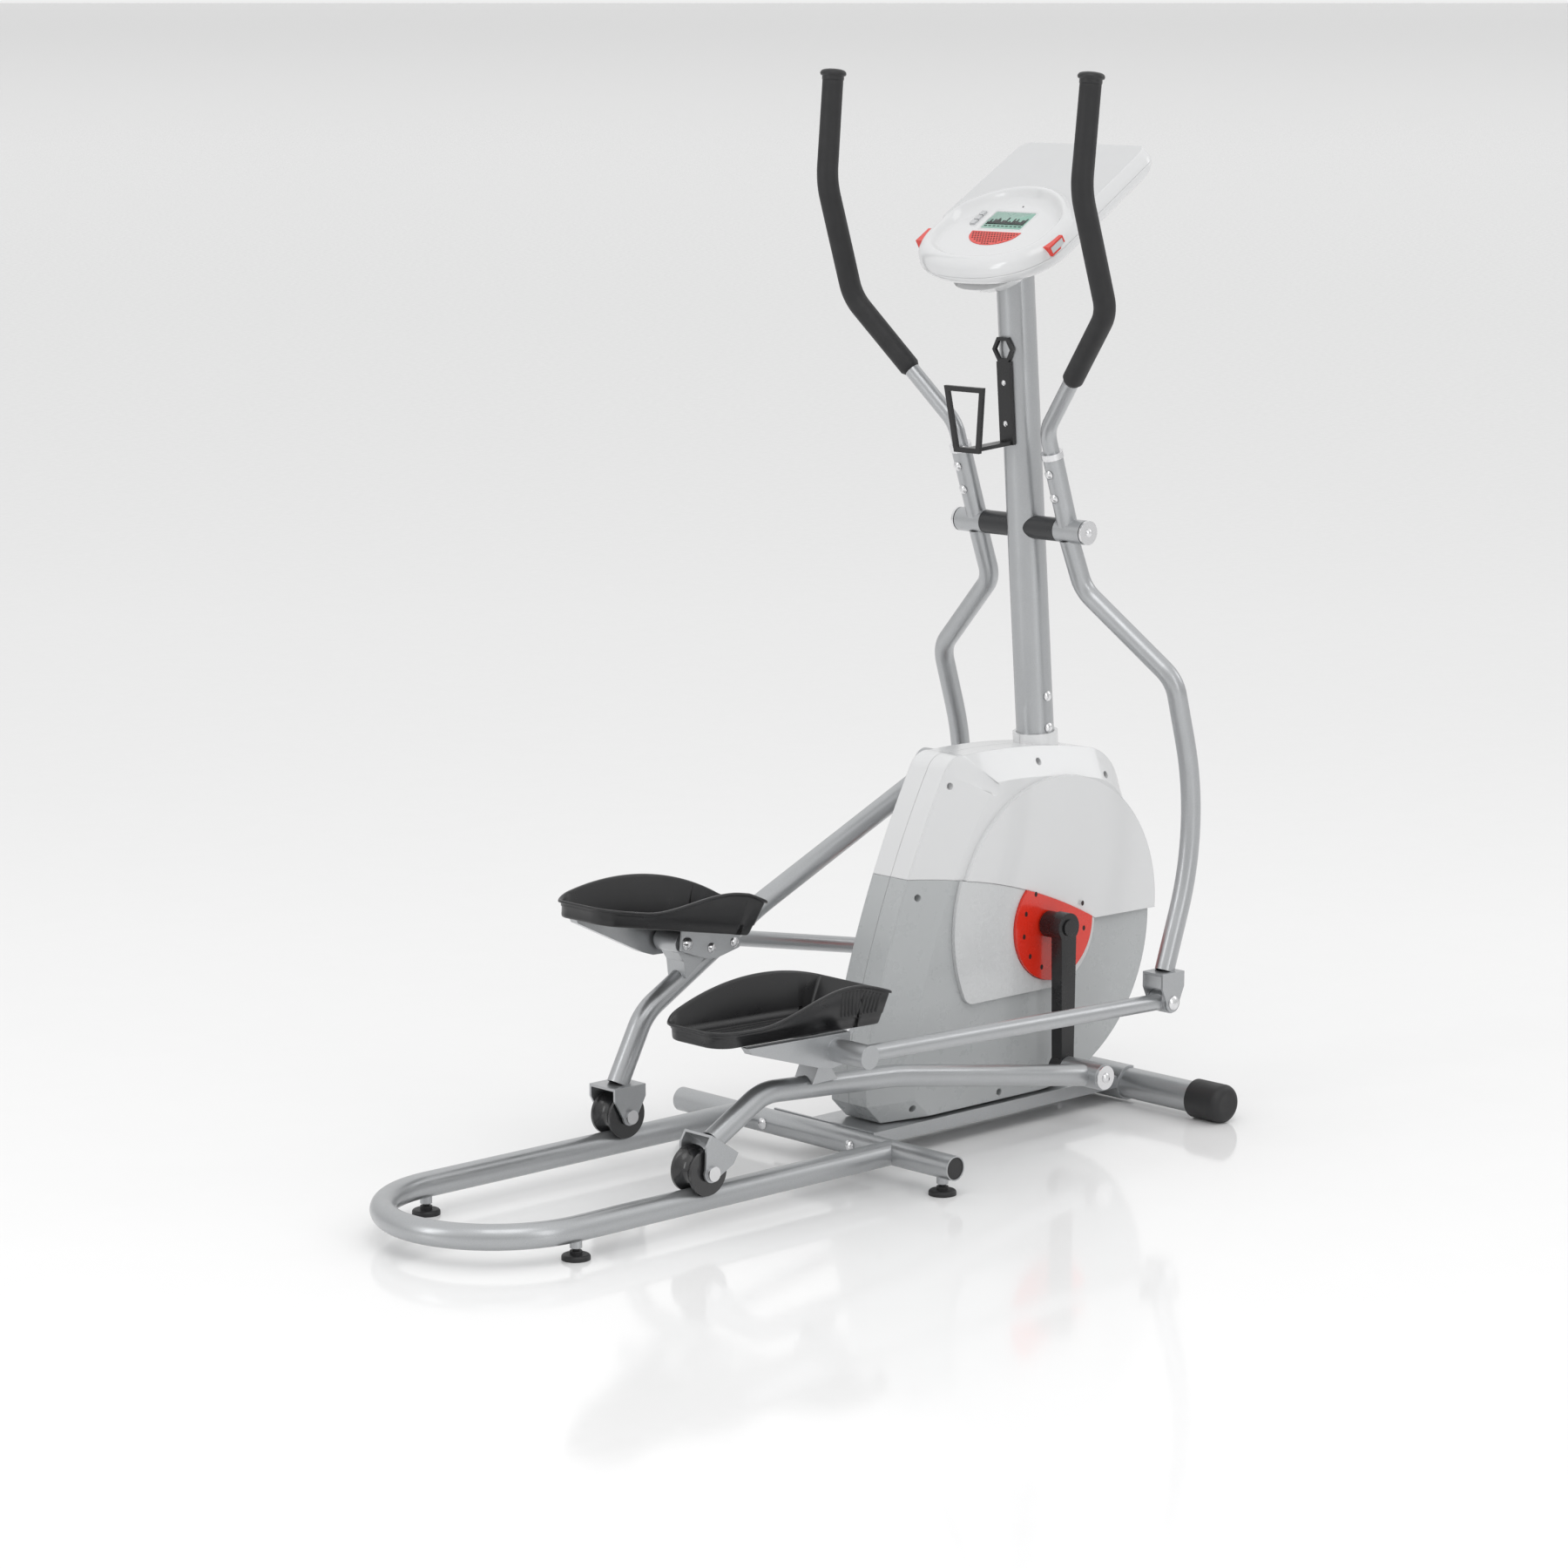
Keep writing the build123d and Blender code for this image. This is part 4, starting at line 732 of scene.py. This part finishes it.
def on_tray(quad):
    """True where all four corners lie on the reading tray, behind the hood's crest."""
    return all(past_arch[k] > 9 and edges[k] > 7 for k in quad)


points, faces = console_faces(lambda quad: not on_tray(quad))
top_shell = mesh_piece("console_top", points, faces, white_gloss)
points, faces = console_faces(on_tray)
tray_panel = mesh_piece("console_tray", points, faces, tray_grey)
inner_rings = [[console_point(u, y, SEAM) for u, y in OUTLINE]]
inner_rings.append([console_point(*(CENTRE + (p - CENTRE) * 0.985), SEAM) for p in OUTLINE])
inner_rings.append([console_point(*(CENTRE + (p - CENTRE) * 0.975), -3.0) for p in OUTLINE])
inner_lip = skin("console_lip", inner_rings, white_gloss, closed_ends=(False, False))
for piece in (top_shell, inner_lip):
    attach(piece, "frame")
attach(tray_panel, "frame")
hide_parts("console_top_shell")
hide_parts("reading_tray")

bottom_levels = [
    (0.985, SEAM - 0.5), (1.0, SEAM - 0.8), (1.0, -17.0), (0.992, -22.0), (0.972, -28.0), (0.935, -34.0),
    (0.88, -38.0), (0.8, -40.5), (0.72, -41.5),
]
bottom_rings = []
for share, level in bottom_levels:
    ring = CENTRE + (OUTLINE - CENTRE) * share
    bottom_rings.append([console_point(u, y, level) for u, y in ring])
for share, level in ((0.46, -43.0), (0.4, -52.0), (0.36, -62.0), (0.31, -67.0), (0.2, -68.0)):
    ring = np.array([-4.0, 0.0]) + (OUTLINE - CENTRE) * (share * 1.25, share)
    bottom_rings.append([console_point(u, y, level) for u, y in ring])
bottom_shell = skin("console_bottom", bottom_rings, white_gloss, closed_ends=(False, True))
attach(bottom_shell, "frame")
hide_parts("console_bottom_shell")


BLOCK_CORNER_R = 2.0


def console_block(name, near, far, half, low, high, look, middle=0.0, round_off=1.0):
    """A small soft-edged block on the console."""
    corners = ((far, half), (near, half), (near, -half), (far, -half))
    rings = []
    for level, pull in ((low, 0.0), (high - round_off, 0.0), (high, round_off)):
        ring = []
        for k, (corner_u, corner_y) in enumerate(corners):
            side_u = 1 if corner_u == far else -1
            side_y = 1 if corner_y > 0 else -1
            centre_u = corner_u - side_u * (BLOCK_CORNER_R + pull)
            centre_y = middle + corner_y - side_y * (BLOCK_CORNER_R + pull)
            for j in range(5):
                a = k * pi / 2 + j * pi / 8
                u = centre_u + BLOCK_CORNER_R * cos(a)
                ring.append(console_point(u, centre_y + BLOCK_CORNER_R * sin(a), level))
        rings.append(ring)
    return skin(name, rings, look)


# Display: a window with a graph of plain bars
bezel = console_block("display_bezel", -4.0, 47.5, 46.5, -4.0, 0.9, white_gloss)
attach(bezel, "frame")
screen = console_block("display_screen", -0.5, 43.5, 42.5, -3.0, 1.2, lcd_green, round_off=0.2)
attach(screen, "frame")
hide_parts("display")
BAR_COUNT = 22
for k in range(BAR_COUNT):
    y = 38.0 - k * 76.0 / (BAR_COUNT - 1)
    tall = 4.0 + 13.0 * abs(sin(k * 1.7) * cos(k * 0.6 + 0.4))
    bar = console_block(
        f"display_bar_{k}", 12.0, 13.0 + tall, 1.75, 1.0, 1.45, lcd_ink, middle=y, round_off=0.1
    )
    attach(bar, "frame")
base_line = console_block("display_line", 10.0, 12.2, 40.0, 1.0, 1.45, lcd_ink, round_off=0.1)
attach(base_line, "frame")
for k in range(9):
    y = 36.0 - k * 9.0
    dash = console_block(f"display_mark_{k}", 4.6, 7.0, 3.0, 1.0, 1.4, lcd_ink, middle=y, round_off=0.1)
    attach(dash, "frame")

# Speaker grille: a red crescent with rows of slots painted as dark shade ovals on its face
GRILLE_TOP = -9.0
GRILLE_HALF = 52.0
GRILLE_DEPTH = 34.0
GRILLE_STEPS = 40


def grille_depth(y):
    """How far the crescent reaches below its straight edge at a distance across."""
    return GRILLE_DEPTH * sqrt(max(0.0, 1 - (y / GRILLE_HALF) ** 2))


crescent = []
for k in range(GRILLE_STEPS + 1):
    crescent.append((GRILLE_TOP, -GRILLE_HALF + 2 * GRILLE_HALF * k / GRILLE_STEPS))
for k in range(GRILLE_STEPS + 1):
    y = GRILLE_HALF - 2 * GRILLE_HALF * k / GRILLE_STEPS
    crescent.append((GRILLE_TOP - 1.0 - grille_depth(y), y))
grille = skin(
    "grille",
    [[console_point(u, y, -2.0) for u, y in crescent], [console_point(u, y, 1.1) for u, y in crescent]],
    red_plastic,
    smooth=False,
)
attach(grille, "frame")
SLOT_STEPS = 10
slots = []
slot_faces = []
for row in range(7):
    u = GRILLE_TOP - 4.0 - row * 4.6
    for column in range(-8, 9):
        y = column * 5.8 + (2.9 if row % 2 else 0.0)
        if u < GRILLE_TOP - grille_depth(abs(y) + 3) + 1.5:
            continue
        base = len(slots)
        for k in range(SLOT_STEPS):
            a = 2 * pi * k / SLOT_STEPS
            slots.append(console_point(u + 1.25 * cos(a), y + 2.0 * sin(a), 1.25))
        slot_faces.append(tuple(range(base, base + SLOT_STEPS)))
# Flat dark ovals just above the grille face: painted shade in place of real slots
grille_slot_shade = mesh_piece("grille_slot_shade", slots, slot_faces, hole_shade_paint, smooth=False)
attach(grille_slot_shade, "frame")

# ---------------------------------------------------------------- camera, light and floor

camera_data = bpy.data.cameras.new("camera")
camera_data.lens = 105.0
camera_data.sensor_width = 36.0
camera = bpy.data.objects.new("camera", camera_data)
camera.location = (-4.6768, -4.9269, 1.7673)
camera.rotation_euler = (radians(90 - 9.79), 0, radians(46.52 - 90))
bpy.context.scene.collection.objects.link(camera)
bpy.context.scene.camera = camera


def area_light(name, spot, target, size, power):
    """A soft rectangular light aimed at a point."""
    data = bpy.data.lights.new(name, "AREA")
    data.shape = "RECTANGLE"
    data.size, data.size_y = size
    data.energy = power
    light = bpy.data.objects.new(name, data)
    light.location = spot
    light.rotation_euler = (Vector(target) - Vector(spot)).to_track_quat("-Z", "Y").to_euler()
    bpy.context.scene.collection.objects.link(light)


MIDDLE = (0.1, 0, 0.7)
area_light("key", (-1.6, -1.8, 4.4), MIDDLE, (2.6, 2.6), 30)
area_light("side_strip", (-0.4, -4.4, 1.9), MIDDLE, (1.0, 3.0), 18)
area_light("rear_strip", (-4.6, 1.2, 2.2), MIDDLE, (0.9, 3.0), 28)
area_light("front_fill", (4.0, -2.0, 2.6), MIDDLE, (1.6, 1.6), 12)

# The sky is dimmer near the horizon, from SKY_LOW up to SKY_HIGH, and the camera sees it even.
SKY_FADE_FROM = 0.05
SKY_FADE_TO = 0.75
SKY_LOW = 0.7
SKY_HIGH = 1.0
SKY_SEEN = 0.86
world = bpy.data.worlds.new("studio")
world.use_nodes = True
sky = world.node_tree
sky.nodes["Background"].inputs["Color"].default_value = (1, 1, 1, 1)
sky_coords = sky.nodes.new("ShaderNodeTexCoord")
sky_parts = sky.nodes.new("ShaderNodeSeparateXYZ")
sky_fade = sky.nodes.new("ShaderNodeMapRange")
sky_fade.inputs["From Min"].default_value = SKY_FADE_FROM
sky_fade.inputs["From Max"].default_value = SKY_FADE_TO
sky_fade.inputs["To Min"].default_value = SKY_LOW
sky_fade.inputs["To Max"].default_value = SKY_HIGH
sky_path = sky.nodes.new("ShaderNodeLightPath")
sky_pick = sky.nodes.new("ShaderNodeMix")
sky_pick.inputs[3].default_value = SKY_SEEN
node_link(sky, sky_coords, "Generated", sky_parts, "Vector")
node_link(sky, sky_parts, "Z", sky_fade, 0)
node_link(sky, sky_fade, 0, sky_pick, 2)
node_link(sky, sky_path, "Is Camera Ray", sky_pick, 0)
node_link(sky, sky_pick, 0, sky.nodes["Background"], "Strength")
bpy.context.scene.world = world
bpy.context.scene.view_settings.view_transform = "Standard"

FLOOR_REACH = 2000.0
floor_look = surface(
    "floor_look", (0.93, 0.93, 0.93), 0.09, grain=60, bump=0.01, tone_spread=0.01, rough_spread=0.03,
    specular=0.4,
)
floor_corners = [
    (-FLOOR_REACH, -FLOOR_REACH, 0),
    (FLOOR_REACH, -FLOOR_REACH, 0),
    (FLOOR_REACH, FLOOR_REACH, 0),
    (-FLOOR_REACH, FLOOR_REACH, 0),
]
floor = mesh_piece("studio_floor", floor_corners, [(0, 1, 2, 3)], floor_look, smooth=False)
